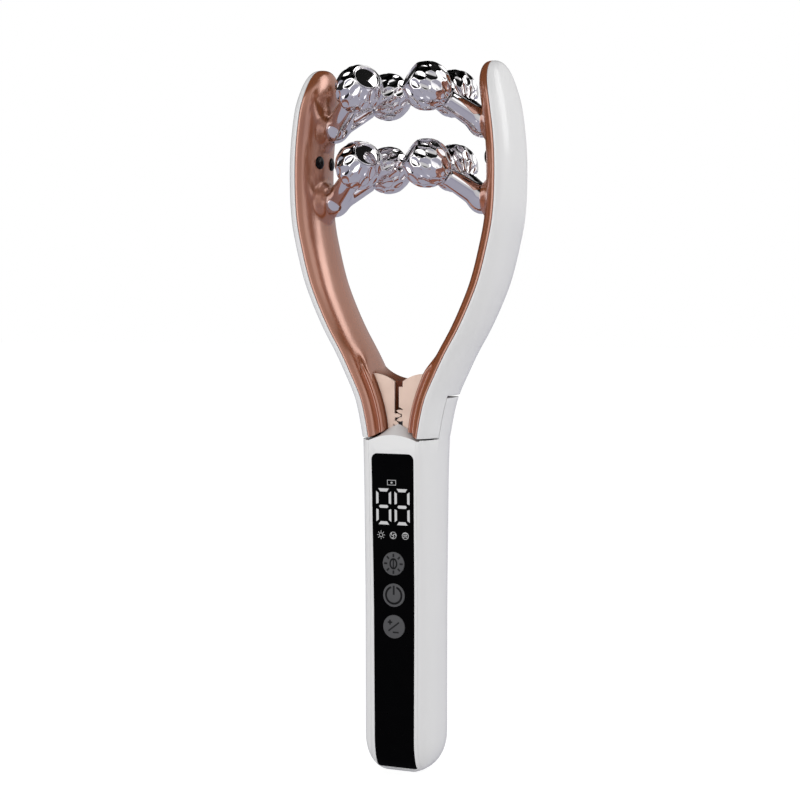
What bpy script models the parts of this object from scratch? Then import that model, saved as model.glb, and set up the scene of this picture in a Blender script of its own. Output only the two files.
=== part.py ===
"""Two-arm face roller: geared spring arms with eight chrome balls on a rechargeable handle.

X points right, -Y is the display side and +Z points up along the handle.
The origin is the middle of the handle's flat bottom end. All lengths are metres.
"""
import math

import bmesh
import bpy
from mathutils import Matrix, Vector

# Overall size, and the hinge's height that the whole root area follows
TOTAL_HEIGHT = 0.235
PIVOT_HEIGHT = 0.1194
MOUTH_DROP = 0.0078
MOUTH_HEIGHT = PIVOT_HEIGHT - MOUTH_DROP
LEDGE_RISE = 0.0058
LEDGE_HEIGHT = PIVOT_HEIGHT + LEDGE_RISE
CROTCH_RISE = 0.0113
CROTCH_HEIGHT = PIVOT_HEIGHT + CROTCH_RISE
CROTCH_BLEND = 0.0058

# Clearances
SEAT_GAP = 0.0003
SEAM_GAP = 0.00055
LEDGE_GAP = 0.0008
SWING_GAP = 0.0011
OVERRUN = 0.004

# Arms, seen from the front
ARM_REACH = 0.0356
ARM_HALF_DEPTH = 0.0125
COVER_BULGE = 0.0044
FRAME_BULGE = 0.0056
TIP_LENGTH = 0.018
SLOT_HALF_WIDTH = 0.00147
FRAME_FOOT_DROP = 0.006
FRAME_FOOT_HEIGHT = PIVOT_HEIGHT - FRAME_FOOT_DROP
ARM_OUTLINE_SHARES = [
    (0.000, 0.0016), (0.068, 0.0594), (0.117, 0.1212), (0.173, 0.2394), (0.230, 0.3694),
    (0.295, 0.5389), (0.360, 0.6821), (0.425, 0.8003), (0.506, 0.9002), (0.587, 0.9737),
    (0.684, 1.0000), (0.781, 0.9895), (0.878, 0.9369), (0.943, 0.8778), (1.000, 0.8345)]
COVER_FULLNESS = 2.4
FRAME_FULLNESS = 2.0
ROOT_FULLNESS = 8.0
TIP_DEPTH_FULLNESS = 2.3
TIP_WIDTH_FULLNESS = 3.0
TIP_END_SHARE = 0.995

# Handle
HANDLE_FLAT_HALF = 0.0085
HANDLE_BULGE = 0.0041
HANDLE_WALL = 0.0018
FRONT_DEPTH_SHARES = [(0.0, 0.850), (0.27, 0.856), (0.54, 0.872), (0.76, 0.928), (0.90, 0.960), (1.0, 0.992)]
REAR_DEPTH_SHARES = [(0.0, 0.792), (0.27, 0.792), (0.54, 0.808), (0.76, 0.872), (0.90, 0.904), (1.0, 0.960)]
END_ROUND_HEIGHT = 0.012
END_ROUND_SIDE = 0.0075
END_ROUND_DEPTH = 0.0058
SPLIT_DEPTH = 0.0034
SPLIT_GAP = 0.0004
TONGUE_WALL = 0.003
TONGUE_WALL_BACK = ARM_HALF_DEPTH - TONGUE_WALL
COVER_PLATE_THICKNESS = 0.0026
COVER_PLATE_REACH = 0.0073
COVER_PLATE_FOOT = ARM_HALF_DEPTH - COVER_PLATE_REACH

# Peak of the front cover between the arm roots
PEAK_DROP = 0.0028
PEAK_HEIGHT = PIVOT_HEIGHT - PEAK_DROP
PEAK_FALL = 0.0055
PEAK_SHELF_STEP = 0.0034
PEAK_SHELF_HEIGHT = PEAK_HEIGHT - PEAK_SHELF_STEP
PEAK_SHELF_FALL = 0.00185
PEAK_BLOCK_DROP = 0.0031
PEAK_SWING_ROOM = 0.0004
PEAK_BLOCK_FOOT = MOUTH_HEIGHT - PEAK_BLOCK_DROP

# Display panel and keys
PANEL_DROP = 0.0046
PANEL_TOP = MOUTH_HEIGHT - PANEL_DROP
PANEL_HALF_WIDTH_TOP = 0.0075
PANEL_HALF_WIDTH_FOOT = 0.007
PANEL_CORNER = 0.002
PANEL_THICKNESS = 0.001
PANEL_FOOT_STEP = 0.0004
PANEL_FOOT_DEPTH = COVER_PLATE_FOOT + PANEL_FOOT_STEP
KEY_RADIUS = 0.0039
KEY_PROUD = 0.00015
KEY_FLANGE_RADIUS = 0.0048
KEY_FLANGE_THICKNESS = 0.0008
KEY_STEM_RADIUS = 0.0015
KEY_TRAVEL = 0.0004

# Electronics inside the handle
BOARD_HALF_WIDTH = 0.0075
BOARD_FOOT = 0.0025
BRACKET_DROP = 0.0144
BRACKET_FOOT = PIVOT_HEIGHT - BRACKET_DROP
BOARD_DROP = 0.002
BOARD_TOP = BRACKET_FOOT - BOARD_DROP
BOARD_RECESS = 0.0079
BOARD_FRONT = ARM_HALF_DEPTH - BOARD_RECESS
BOARD_THICKNESS = 0.001
SWITCH_SIZE = 0.005
SWITCH_HEIGHT = 0.0009
SWITCH_PLUNGER_RADIUS = 0.0014
DISPLAY_DROP = 0.007
DISPLAY_TOP = PANEL_TOP - DISPLAY_DROP
DISPLAY_LENGTH = 0.022
DISPLAY_FOOT = DISPLAY_TOP - DISPLAY_LENGTH
DISPLAY_HALF_WIDTH = 0.0065
KEY_DROP = 0.00744
KEY_STEP = 0.010525
KEY_HEIGHTS = {name: DISPLAY_FOOT - KEY_DROP - KEY_STEP * place
               for place, name in enumerate(("mode", "power", "level"))}
BATTERY_HALF_WIDTH = 0.0085
BATTERY_ROOM = 0.0036
BATTERY_DROP = 0.017
BATTERY_TOP = BOARD_TOP - BATTERY_DROP
BATTERY_CORNER = 0.002
SOCKET_WIDTH = 0.00894
SOCKET_DEPTH = 0.0032
SOCKET_LENGTH = 0.0073
SOCKET_WALL = 0.0004
SOCKET_RECESS = 0.0006
SOCKET_TONGUE = 0.0007
BATTERY_RISE = 0.0161
BATTERY_FOOT = SOCKET_RECESS + SOCKET_LENGTH + BATTERY_RISE

# Geared roots
GEAR_TEETH = 14
GEAR_PITCH_RADIUS = 0.0063
PRESSURE_ANGLE = math.radians(25.0)
GEAR_BACKLASH = 0.00028
PLATE_RECESS = 0.0054
PLATE_FRONT = ARM_HALF_DEPTH - PLATE_RECESS
PLATE_THICKNESS = 0.002
PLATE_TOP_STEP = 0.0026
PLATE_TOP_HEIGHT = CROTCH_HEIGHT + PLATE_TOP_STEP
PLATE_TOP_REACH = 0.009
PLATE_EDGE_BOW = 1.7
PLATE_FOOT_DROP = 0.0059
PLATE_FOOT_HEIGHT = PIVOT_HEIGHT - PLATE_FOOT_DROP
PLATE_FOOT_REACH = 0.0037
STOP_BAR_DROP = 0.0018
STOP_BAR_TOP = CROTCH_HEIGHT - STOP_BAR_DROP
STOP_BAR_LENGTH = 0.0067
STOP_BAR_FOOT = STOP_BAR_TOP - STOP_BAR_LENGTH
STOP_BAR_REACH = 0.0001

# Hinge
PIN_RADIUS = 0.0015
BRACKET_FRONT = PLATE_FRONT - PLATE_THICKNESS - 2 * SEAT_GAP
BRACKET_BACK = TONGUE_WALL_BACK - SEAT_GAP
CHEEK_THICKNESS = 0.0017
CHEEK_LOBE_RADIUS = 0.0028
BRACKET_BASE_THICKNESS = 0.0042
BRACKET_BASE_TOP = BRACKET_FOOT + BRACKET_BASE_THICKNESS
BRACKET_HALF_WIDTH = 0.0074
SPRING_WIRE_RADIUS = 0.0004
SPRING_COIL_RADIUS = 0.0026
SPRING_TURNS = 3
SPRING_PITCH = 0.0012
SPRING_END_ROOM = 0.001
BARREL_FRONT = (CHEEK_THICKNESS - BRACKET_FRONT + SPRING_TURNS * SPRING_PITCH + 2 * SPRING_WIRE_RADIUS
                + SPRING_END_ROOM)
BARREL_BACK = BRACKET_BACK - CHEEK_THICKNESS - SEAT_GAP
SPRING_POCKET_RADIUS = 0.0037

# Rollers
BALL_RADIUS = 0.0081
BALL_SIDE = 0.0121
BALL_DEPTH = 0.01175
TIP_TO_BALL = 0.0084
BALL_STEP = 0.0248
BALL_HEIGHTS = {"upper": TOTAL_HEIGHT - TIP_TO_BALL, "lower": TOTAL_HEIGHT - TIP_TO_BALL - BALL_STEP}
FORK_INSETS = {"upper": 0.00775, "lower": 0.00863}
FORK_DROP = 0.0113
CAP_RADIUS = 0.0049
CAP_RIM = 0.0004
CAP_THICKNESS = 0.0008
CAP_SEAT_DEPTH = 0.0024
NECK_RADIUS = 0.0034
NECK_GAP = 0.0004
BORE_CLEARANCE = 0.0003
AXLE_RADIUS = 0.00125
AXLE_HEAD_RADIUS = 0.0022
AXLE_HEAD_THICKNESS = 0.0009
AXLE_SEAT = 0.004
BRANCH_TIP_RADIUS = 0.003
BRANCH_ROOT_RADIUS = 0.0040
BRANCH_ROLL = math.radians(2.3)
FOOT_RADIUS = 0.0041
KNUCKLE_RADIUS = 0.00435
FOOT_LENGTH = 0.0064
BOSS_RADIUS = 0.0085
BOSS_WALL = 0.0009
BOSS_STEP = 0.0015
DIMPLES_PER_ROW = 9
DIMPLE_ROWS = 4
DIMPLE_DEPTH = 0.0005

# Light windows between the forks
WINDOW_RADIUS = 0.0022
WINDOW_SIDE_STEP = 0.0045
WINDOW_DROP = 0.0312
WINDOW_HEIGHT = TOTAL_HEIGHT - WINDOW_DROP
WINDOW_PROUD = 0.0008
WINDOW_SEAT = 0.0016

SIDES = {"left": -1, "right": 1}
ENDS = {"front": -1, "back": 1}


def clear_scene():
    """Start from an empty scene with one collection for the parts and one for the cutters."""
    for item in list(bpy.data.objects):
        bpy.data.objects.remove(item, do_unlink=True)
    made = {}
    for name in ("face_roller", "cutters"):
        old = bpy.data.collections.get(name)
        if old:
            bpy.data.collections.remove(old)
        made[name] = bpy.data.collections.new(name)
        bpy.context.scene.collection.children.link(made[name])
    return made["face_roller"], made["cutters"]


PARTS, CUTTERS = clear_scene()


def principled(name, colour, roughness, metallic):
    """One plain material for a piece."""
    material = bpy.data.materials.new(name)
    material.use_nodes = True
    shader = material.node_tree.nodes["Principled BSDF"]
    shader.inputs["Base Color"].default_value = (*colour, 1.0)
    shader.inputs["Roughness"].default_value = roughness
    shader.inputs["Metallic"].default_value = metallic
    return material


MATERIALS = {
    "white_gloss": principled("white_gloss", (0.86, 0.86, 0.87), 0.2, 0.0),
    "rose_gold": principled("rose_gold", (0.62, 0.34, 0.26), 0.2, 0.9),
    "pale_gold": principled("pale_gold", (0.78, 0.60, 0.50), 0.3, 0.7),
    "chrome": principled("chrome", (0.85, 0.85, 0.88), 0.06, 1.0),
    "black_gloss": principled("black_gloss", (0.01, 0.01, 0.01), 0.12, 0.0),
    "key_grey": principled("key_grey", (0.11, 0.11, 0.115), 0.4, 0.0),
    "steel": principled("steel", (0.6, 0.6, 0.62), 0.3, 1.0),
    "board_green": principled("board_green", (0.03, 0.20, 0.08), 0.5, 0.0),
    "cell_wrap": principled("cell_wrap", (0.12, 0.22, 0.42), 0.4, 0.0),
    "lens_black": principled("lens_black", (0.005, 0.005, 0.006), 0.08, 0.0),
}


def lerp(low, high, share):
    return low + (high - low) * share


def spline_value(table, position):
    """Smooth value of a table of (position, value) rows, by Catmull-Rom tangents."""
    rows = sorted(table)
    if position <= rows[0][0]:
        return rows[0][1]
    if position >= rows[-1][0]:
        return rows[-1][1]
    index = max(i for i in range(len(rows) - 1) if rows[i][0] <= position)

    def slope(i):
        before, after = rows[max(i - 1, 0)], rows[min(i + 1, len(rows) - 1)]
        return (after[1] - before[1]) / (after[0] - before[0])

    (x0, y0), (x1, y1) = rows[index], rows[index + 1]
    span = x1 - x0
    t = (position - x0) / span
    return (y0 * (1 + 2 * t) * (1 - t) ** 2 + slope(index) * span * t * (1 - t) ** 2
            + y1 * t * t * (3 - 2 * t) + slope(index + 1) * span * t * t * (t - 1))


def add_object(name, mesh, collection, material=None):
    item = bpy.data.objects.new(name, mesh)
    collection.objects.link(item)
    if material:
        mesh.materials.append(MATERIALS[material])
    return item


def finish_mesh(mesh, smooth_angle=35.0):
    """Outward faces and smooth shading up to a crease angle."""
    work = bmesh.new()
    work.from_mesh(mesh)
    bmesh.ops.recalc_face_normals(work, faces=work.faces)
    work.to_mesh(mesh)
    work.free()
    mesh.shade_smooth()
    mesh.set_sharp_from_angle(angle=math.radians(smooth_angle))


def loft(name, rings, collection, material=None):
    """Closed solid through rings that all have the same number of points."""
    mesh = bpy.data.meshes.new(name)
    work = bmesh.new()
    rows = [[work.verts.new(point) for point in ring] for ring in rings]
    count = len(rings[0])
    for low, high in zip(rows, rows[1:]):
        for i in range(count):
            j = (i + 1) % count
            work.faces.new((low[i], low[j], high[j], high[i]))
    work.faces.new(list(reversed(rows[0])))
    work.faces.new(rows[-1])
    work.to_mesh(mesh)
    work.free()
    finish_mesh(mesh)
    return add_object(name, mesh, collection, material)


def box(name, low, high, collection, material=None, bevel=0.0):
    """Cuboid between two corners, with rounded edges where a bevel width is given."""
    mesh = bpy.data.meshes.new(name)
    work = bmesh.new()
    bmesh.ops.create_cube(work, size=1.0)
    low, high = Vector(low), Vector(high)
    for vertex in work.verts:
        vertex.co = Vector([lerp(low[k], high[k], vertex.co[k] + 0.5) for k in range(3)])
    work.to_mesh(mesh)
    work.free()
    finish_mesh(mesh)
    item = add_object(name, mesh, collection, material)
    if bevel:
        modifier = item.modifiers.new("rounded_edges", "BEVEL")
        modifier.width = bevel
        modifier.segments = 2
    return item


def cone(name, start, end, radius_start, radius_end, collection, material=None, segments=16, roll=0.0):
    """Cylinder or cone between two points, its facets turned about its axis by roll."""
    start, end = Vector(start), Vector(end)
    mesh = bpy.data.meshes.new(name)
    work = bmesh.new()
    bmesh.ops.create_cone(work, cap_ends=True, segments=segments, radius1=radius_start,
                          radius2=radius_end, depth=(end - start).length)
    turn = (end - start).to_track_quat("Z", "Y").to_matrix().to_4x4()
    work.transform(Matrix.Translation((start + end) / 2) @ turn @ Matrix.Rotation(roll, 4, "Z"))
    work.to_mesh(mesh)
    work.free()
    finish_mesh(mesh)
    return add_object(name, mesh, collection, material)


def ball_solid(name, centre, radius, collection, material=None, segments=16):
    """Plain sphere."""
    mesh = bpy.data.meshes.new(name)
    work = bmesh.new()
    bmesh.ops.create_uvsphere(work, u_segments=segments, v_segments=segments // 2, radius=radius)
    work.transform(Matrix.Translation(centre))
    work.to_mesh(mesh)
    work.free()
    finish_mesh(mesh)
    return add_object(name, mesh, collection, material)


def front_outline(name, outline, front, back, collection, material=None):
    """Flat outline given in X and Z, filled and made as thick as front to back."""
    curve = bpy.data.curves.new(name, "CURVE")
    curve.dimensions = "2D"
    curve.fill_mode = "BOTH"
    curve.extrude = (back - front) / 2
    spline = curve.splines.new("POLY")
    spline.points.add(len(outline) - 1)
    for point, (x, z) in zip(spline.points, outline):
        point.co = (x, z, 0.0, 1.0)
    spline.use_cyclic_u = True
    flat = bpy.data.objects.new(name + "_outline", curve)
    collection.objects.link(flat)
    flat.matrix_world = Matrix.Translation((0.0, (front + back) / 2, 0.0)) @ Matrix.Rotation(math.pi / 2, 4, "X")
    bpy.context.view_layer.update()
    evaluated = flat.evaluated_get(bpy.context.evaluated_depsgraph_get())
    mesh = bpy.data.meshes.new_from_object(evaluated)
    mesh.transform(flat.matrix_world)
    bpy.data.objects.remove(flat, do_unlink=True)
    work = bmesh.new()
    work.from_mesh(mesh)
    bmesh.ops.remove_doubles(work, verts=work.verts, dist=SEAT_GAP / 100)
    work.to_mesh(mesh)
    work.free()
    mesh.materials.clear()
    finish_mesh(mesh)
    return add_object(name, mesh, collection, material)


def turned(name, profile, segments, collection, material=None, reshape=None):
    """Body of revolution about Z from a closed profile of (radius, height) points."""
    rings = []
    for step in range(segments):
        angle = 2 * math.pi * step / segments
        ring = []
        for row, (radius, height) in enumerate(profile):
            point = Vector((radius * math.cos(angle), radius * math.sin(angle), height))
            ring.append(reshape(point, row, step) if reshape else point)
        rings.append(ring)
    mesh = bpy.data.meshes.new(name)
    work = bmesh.new()
    rows = [[work.verts.new(point) for point in ring] for ring in rings]
    for step in range(segments):
        low, high = rows[step], rows[(step + 1) % segments]
        for i in range(len(profile)):
            j = (i + 1) % len(profile)
            work.faces.new((low[i], high[i], high[j], low[j]))
    bmesh.ops.remove_doubles(work, verts=work.verts, dist=SEAT_GAP / 100)
    axis_edges = [edge for edge in work.edges if not edge.link_faces]
    bmesh.ops.delete(work, geom=axis_edges, context="EDGES")
    work.to_mesh(mesh)
    work.free()
    finish_mesh(mesh)
    return add_object(name, mesh, collection, material)


def wire(name, points, radius, collection, material):
    """Round wire with closed ends along a list of points."""
    curve = bpy.data.curves.new(name, "CURVE")
    curve.dimensions = "3D"
    curve.bevel_depth = radius
    curve.bevel_resolution = 0
    curve.use_fill_caps = True
    spline = curve.splines.new("POLY")
    spline.points.add(len(points) - 1)
    for knot, place in zip(spline.points, points):
        knot.co = (*place, 1.0)
    curve.materials.append(MATERIALS[material])
    item = bpy.data.objects.new(name, curve)
    collection.objects.link(item)
    return item


def boolean(item, tool, operation="DIFFERENCE"):
    """Live Boolean with a tool that is kept out of the render."""
    tool.hide_render = True
    tool.display_type = "WIRE"
    modifier = item.modifiers.new(operation.lower() + "_" + tool.name, "BOOLEAN")
    modifier.operation = operation
    modifier.object = tool
    modifier.solver = "EXACT"
    return item


def parting_reach(height):
    """Distance from the centre plane to the line where an arm's cover meets its frame."""
    share = (height - MOUTH_HEIGHT) / (TOTAL_HEIGHT - MOUTH_HEIGHT)
    return lerp(HANDLE_FLAT_HALF, ARM_REACH, spline_value(ARM_OUTLINE_SHARES, share))


def tip_share(height):
    """How far a height lies into the rounded tip, from 0 at its start to 1 at the very end."""
    return min(max((height - TOTAL_HEIGHT + TIP_LENGTH) / TIP_LENGTH, 0.0), TIP_END_SHARE)


def rounded(share, fullness):
    return (1 - share ** fullness) ** (1 / fullness)


def arm_heights(foot):
    """Section heights of an arm part from its foot to the tip, closer where the shape turns."""
    blend_top = CROTCH_HEIGHT + CROTCH_BLEND
    heights = [foot, lerp(foot, CROTCH_HEIGHT, 0.5)]
    heights += [blend_top - CROTCH_BLEND * math.sin(math.radians(angle)) for angle in (90, 68, 46, 24, 0)]
    shaft_top = TOTAL_HEIGHT - TIP_LENGTH
    heights += [lerp(blend_top, shaft_top, step / 9) for step in range(1, 10)]
    heights += [shaft_top + TIP_LENGTH * math.sin(math.radians(angle)) for angle in (22, 44, 66)]
    return sorted(set(heights)) + [TOTAL_HEIGHT]


def half_ring(side, height, start, bulge, depth, fullness, steps=10):
    """One D-shaped section: a straight parting side and a bulged side."""
    ring = []
    for step in range(steps + 1):
        angle = lerp(-math.pi / 2, math.pi / 2, step / steps)
        across = abs(math.cos(angle)) ** (2 / fullness) if 0 < step < steps else 0.0
        along = math.copysign(abs(math.sin(angle)) ** (2 / fullness), angle)
        ring.append((side * (start + bulge * across), depth * along, height))
    return ring


def frame_section(height):
    """Bulge and fullness of the inner half of an arm at a height."""
    into_root = min(max((CROTCH_HEIGHT + CROTCH_BLEND - height) / CROTCH_BLEND, 0.0), 1.0)
    reach = parting_reach(height)
    shaft_bulge = FRAME_BULGE * rounded(tip_share(height), TIP_WIDTH_FULLNESS)
    inner = lerp(reach - shaft_bulge, SLOT_HALF_WIDTH, 1 - math.sqrt(1 - into_root ** 2))
    near_root = min(max((CROTCH_HEIGHT + 2 * CROTCH_BLEND - height) / CROTCH_BLEND, 0.0), 1.0)
    return reach - inner, lerp(FRAME_FULLNESS, ROOT_FULLNESS, near_root ** 2)


def shelf_height(side_place, depth_share):
    """Height of the front cover's peak, from its front shelf line to its back edge."""
    share = min(abs(side_place) / HANDLE_FLAT_HALF, 1.0)
    shelf = PEAK_SHELF_HEIGHT - PEAK_SHELF_FALL * share ** 2
    ridge = PEAK_HEIGHT - PEAK_FALL * (share + share ** 2) / 2
    return lerp(shelf, max(ridge, shelf - SEAM_GAP), depth_share)


def shelf_cutter(name, lift, above, side_lift=0.0):
    """Solid above or below the peak's sloping surface, moved up by lift and further up towards its sides."""
    front = -ARM_HALF_DEPTH
    edge = -PLATE_FRONT - SEAT_GAP + (0.0 if above else SEAM_GAP)
    limit = PEAK_HEIGHT + OVERRUN if above else PEAK_BLOCK_FOOT - OVERRUN
    columns = 10
    places = [lerp(-HANDLE_FLAT_HALF, HANDLE_FLAT_HALF, column / columns) for column in range(columns + 1)]
    places = [-ARM_REACH] + places + [ARM_REACH]
    rings = []
    for x in places:
        rise = lift + side_lift * min(abs(x) / HANDLE_FLAT_HALF, 1.0)
        low_front = shelf_height(x, 0.0) + rise
        low_back = shelf_height(x, 1.0) + rise
        rings.append([(x, front - OVERRUN, low_front), (x, front, low_front), (x, edge, low_back),
                      (x, edge, limit), (x, front - OVERRUN, limit)])
    return loft(name, rings, CUTTERS)


def handle_depths(height):
    """Front and rear depth of the handle at a height, before its rounded end."""
    share = height / MOUTH_HEIGHT
    return (ARM_HALF_DEPTH * spline_value(FRONT_DEPTH_SHARES + [(LEDGE_HEIGHT / MOUTH_HEIGHT, 1.0)], share),
            ARM_HALF_DEPTH * spline_value(REAR_DEPTH_SHARES + [(LEDGE_HEIGHT / MOUTH_HEIGHT, 1.0)], share))


def handle_ring(height, inset=0.0, steps=8):
    """Closed section of the handle: flat front and back with bulged sides."""
    front, rear = handle_depths(height)
    middle, depth = (rear - front) / 2, (rear + front) / 2
    flat = HANDLE_FLAT_HALF if height <= MOUTH_HEIGHT else parting_reach(height)
    near_mouth = min(max(height / MOUTH_HEIGHT, 0.0), 1.0) ** 12
    bulge = lerp(HANDLE_BULGE, COVER_BULGE, near_mouth)
    into_end = min(max((END_ROUND_HEIGHT - height) / END_ROUND_HEIGHT, 0.0), 1.0)
    drawn = 1 - math.sqrt(1 - into_end ** 2)
    wide = 1 - (END_ROUND_SIDE * drawn + inset) / (flat + bulge)
    deep = 1 - (END_ROUND_DEPTH * drawn + inset) / depth
    arc = half_ring(1, height, flat, bulge, depth, COVER_FULLNESS, steps)
    right = [(x * wide, middle + y * deep, z) for x, y, z in arc]
    return right + [(-x, y, z) for x, y, z in reversed(right)]


def handle_heights(foot, top):
    end = [END_ROUND_HEIGHT * (1 - math.sin(math.radians(angle))) for angle in (90, 68, 50, 32, 14)]
    shaft = [lerp(END_ROUND_HEIGHT, MOUTH_HEIGHT, step / 5) for step in range(6)]
    root = [lerp(MOUTH_HEIGHT, LEDGE_HEIGHT, step / 3) for step in range(1, 4)]
    inside = [height for height in end + shaft + root if foot < height < top]
    return [foot] + inside + [top]


def handle_solid(name, collection, shift=(0.0, 0.0, 0.0), material=None):
    rings = [handle_ring(height) for height in handle_heights(0.0, LEDGE_HEIGHT)]
    moved = [[Vector(point) + Vector(shift) for point in ring] for ring in rings]
    return loft(name, moved, collection, material)


def rear_shell():
    """White U-shaped housing with the tongue that rises behind the arm roots."""
    shell = handle_solid("handle_rear_shell", PARTS, material="white_gloss")
    cavity_top = MOUTH_HEIGHT + SEAM_GAP
    heights = [height for height in handle_heights(HANDLE_WALL, cavity_top)]
    boolean(shell, loft("cavity_cutter", [handle_ring(h, HANDLE_WALL) for h in heights], CUTTERS))
    tongue = []
    for step in range(5):
        height = lerp(MOUTH_HEIGHT - SEAT_GAP, LEDGE_HEIGHT + OVERRUN, step / 4)
        half = parting_reach(height) + SWING_GAP
        front = -ARM_HALF_DEPTH - OVERRUN
        tongue.append([(-half, front, height), (half, front, height),
                       (half, TONGUE_WALL_BACK, height), (-half, TONGUE_WALL_BACK, height)])
    boolean(shell, loft("tongue_cutter", tongue, CUTTERS))
    wide = ARM_REACH
    boolean(shell, box("mouth_cutter", (-wide, -ARM_HALF_DEPTH - OVERRUN, MOUTH_HEIGHT),
                       (wide, -SPLIT_DEPTH + SPLIT_GAP / 2, LEDGE_HEIGHT + OVERRUN), CUTTERS))
    half = HANDLE_FLAT_HALF + SEAT_GAP / 2
    boolean(shell, box("front_opening_cutter", (-half, -ARM_HALF_DEPTH - OVERRUN, -OVERRUN),
                       (half, -COVER_PLATE_FOOT + SEAT_GAP, MOUTH_HEIGHT + OVERRUN), CUTTERS))
    boolean(shell, socket_outline("port_cutter", SEAT_GAP, -OVERRUN, HANDLE_WALL + OVERRUN))
    return shell


def panel_outline(grow):
    """Front view of the display panel: straight sides, rounded top corners, open foot."""
    top, foot = PANEL_HALF_WIDTH_TOP + grow, PANEL_HALF_WIDTH_FOOT + grow
    corner = PANEL_CORNER + grow
    points = [(foot, -OVERRUN)]
    for step in range(7):
        angle = math.pi / 2 * step / 6
        points.append((top - corner + corner * math.cos(angle), PANEL_TOP + grow - corner + corner * math.sin(angle)))
    return points + [(-x, z) for x, z in reversed(points)]


def skin_cutter(name, grow, thickness, foot_depth):
    """What lies in the panel's outline and in front of a skin of the given thickness."""
    tool = front_outline(name, panel_outline(grow), -ARM_HALF_DEPTH - OVERRUN, -foot_depth, CUTTERS)
    behind = handle_solid(name + "_back", CUTTERS, shift=(0.0, thickness, thickness))
    return boolean(tool, behind)


def front_cover():
    """White front plate around the panel, with the peak between the arm roots."""
    cover = handle_solid("handle_front_cover", PARTS, material="white_gloss")
    half = HANDLE_FLAT_HALF - SEAT_GAP / 2
    keep = box("front_cover_outline", (-half, -ARM_HALF_DEPTH - OVERRUN, -OVERRUN),
               (half, -PLATE_FRONT - SEAT_GAP, PEAK_HEIGHT + SEAM_GAP), CUTTERS)
    foot = box("front_cover_foot_outline", (-half, -ARM_HALF_DEPTH, -OVERRUN),
               (half, -COVER_PLATE_FOOT, END_ROUND_HEIGHT), CUTTERS)
    boolean(keep, foot, "UNION")
    boolean(cover, keep, "INTERSECT")
    back = handle_solid("front_cover_back", CUTTERS, shift=(0.0, COVER_PLATE_THICKNESS, COVER_PLATE_THICKNESS))
    below = box("below_peak_block", (-ARM_REACH, -2 * ARM_HALF_DEPTH, -OVERRUN),
                (ARM_REACH, 2 * ARM_HALF_DEPTH, PEAK_BLOCK_FOOT), CUTTERS)
    boolean(back, below, "INTERSECT")
    boolean(cover, back)
    boolean(cover, shelf_cutter("peak_cutter", 0.0, True))
    boolean(cover, skin_cutter("panel_recess_cutter", SEAT_GAP, PANEL_THICKNESS + SEAT_GAP,
                               COVER_PLATE_FOOT - OVERRUN))
    for name, height in KEY_HEIGHTS.items():
        boolean(cover, key_hole(name + "_cover_hole", height))
    window = box("display_window_cutter", (-DISPLAY_HALF_WIDTH, -ARM_HALF_DEPTH, DISPLAY_FOOT),
                 (DISPLAY_HALF_WIDTH, 0.0, DISPLAY_TOP), CUTTERS)
    return boolean(cover, window)


def key_hole(name, height):
    return cone(name, (0.0, -ARM_HALF_DEPTH - OVERRUN, height), (0.0, 0.0, height),
                KEY_RADIUS + SEAT_GAP, KEY_RADIUS + SEAT_GAP, CUTTERS)


def display_panel():
    """Black glossy panel that runs down the front and round the bottom edge."""
    panel = handle_solid("display_panel", PARTS, material="black_gloss")
    keep = skin_cutter("panel_skin", 0.0, PANEL_THICKNESS, PANEL_FOOT_DEPTH)
    boolean(panel, keep, "INTERSECT")
    for name, height in KEY_HEIGHTS.items():
        boolean(panel, key_hole(name + "_panel_hole", height))
    return panel


def place_key(name, height):
    """Round key with a flange behind the front cover and a stem towards its switch."""
    face = -handle_depths(height)[0]
    flange = face + COVER_PLATE_THICKNESS + SEAT_GAP
    stem_end = -BOARD_FRONT - SEAT_GAP - SWITCH_HEIGHT - KEY_TRAVEL - 2 * SEAT_GAP
    profile = [(0.0, face - KEY_PROUD), (KEY_RADIUS - KEY_PROUD, face - KEY_PROUD), (KEY_RADIUS, face),
               (KEY_RADIUS, flange), (KEY_FLANGE_RADIUS, flange),
               (KEY_FLANGE_RADIUS, flange + KEY_FLANGE_THICKNESS),
               (KEY_STEM_RADIUS, flange + KEY_FLANGE_THICKNESS), (KEY_STEM_RADIUS, stem_end), (0.0, stem_end)]
    key = turned("button_" + name, profile, 16, PARTS, "key_grey")
    key.matrix_world = Matrix.Translation((0.0, 0.0, height)) @ Matrix.Rotation(-math.pi / 2, 4, "X")
    half = SWITCH_SIZE / 2
    back = -BOARD_FRONT - SEAT_GAP
    switch = box("switch_" + name, (-half, back - SWITCH_HEIGHT, height - half), (half, back, height + half),
                 PARTS, "steel")
    plunger = cone("plunger_" + name, (0.0, back - SWITCH_HEIGHT - SEAT_GAP, height), (0.0, back - SEAT_GAP, height),
                   SWITCH_PLUNGER_RADIUS, SWITCH_PLUNGER_RADIUS, CUTTERS)
    boolean(switch, plunger, "UNION")


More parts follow.
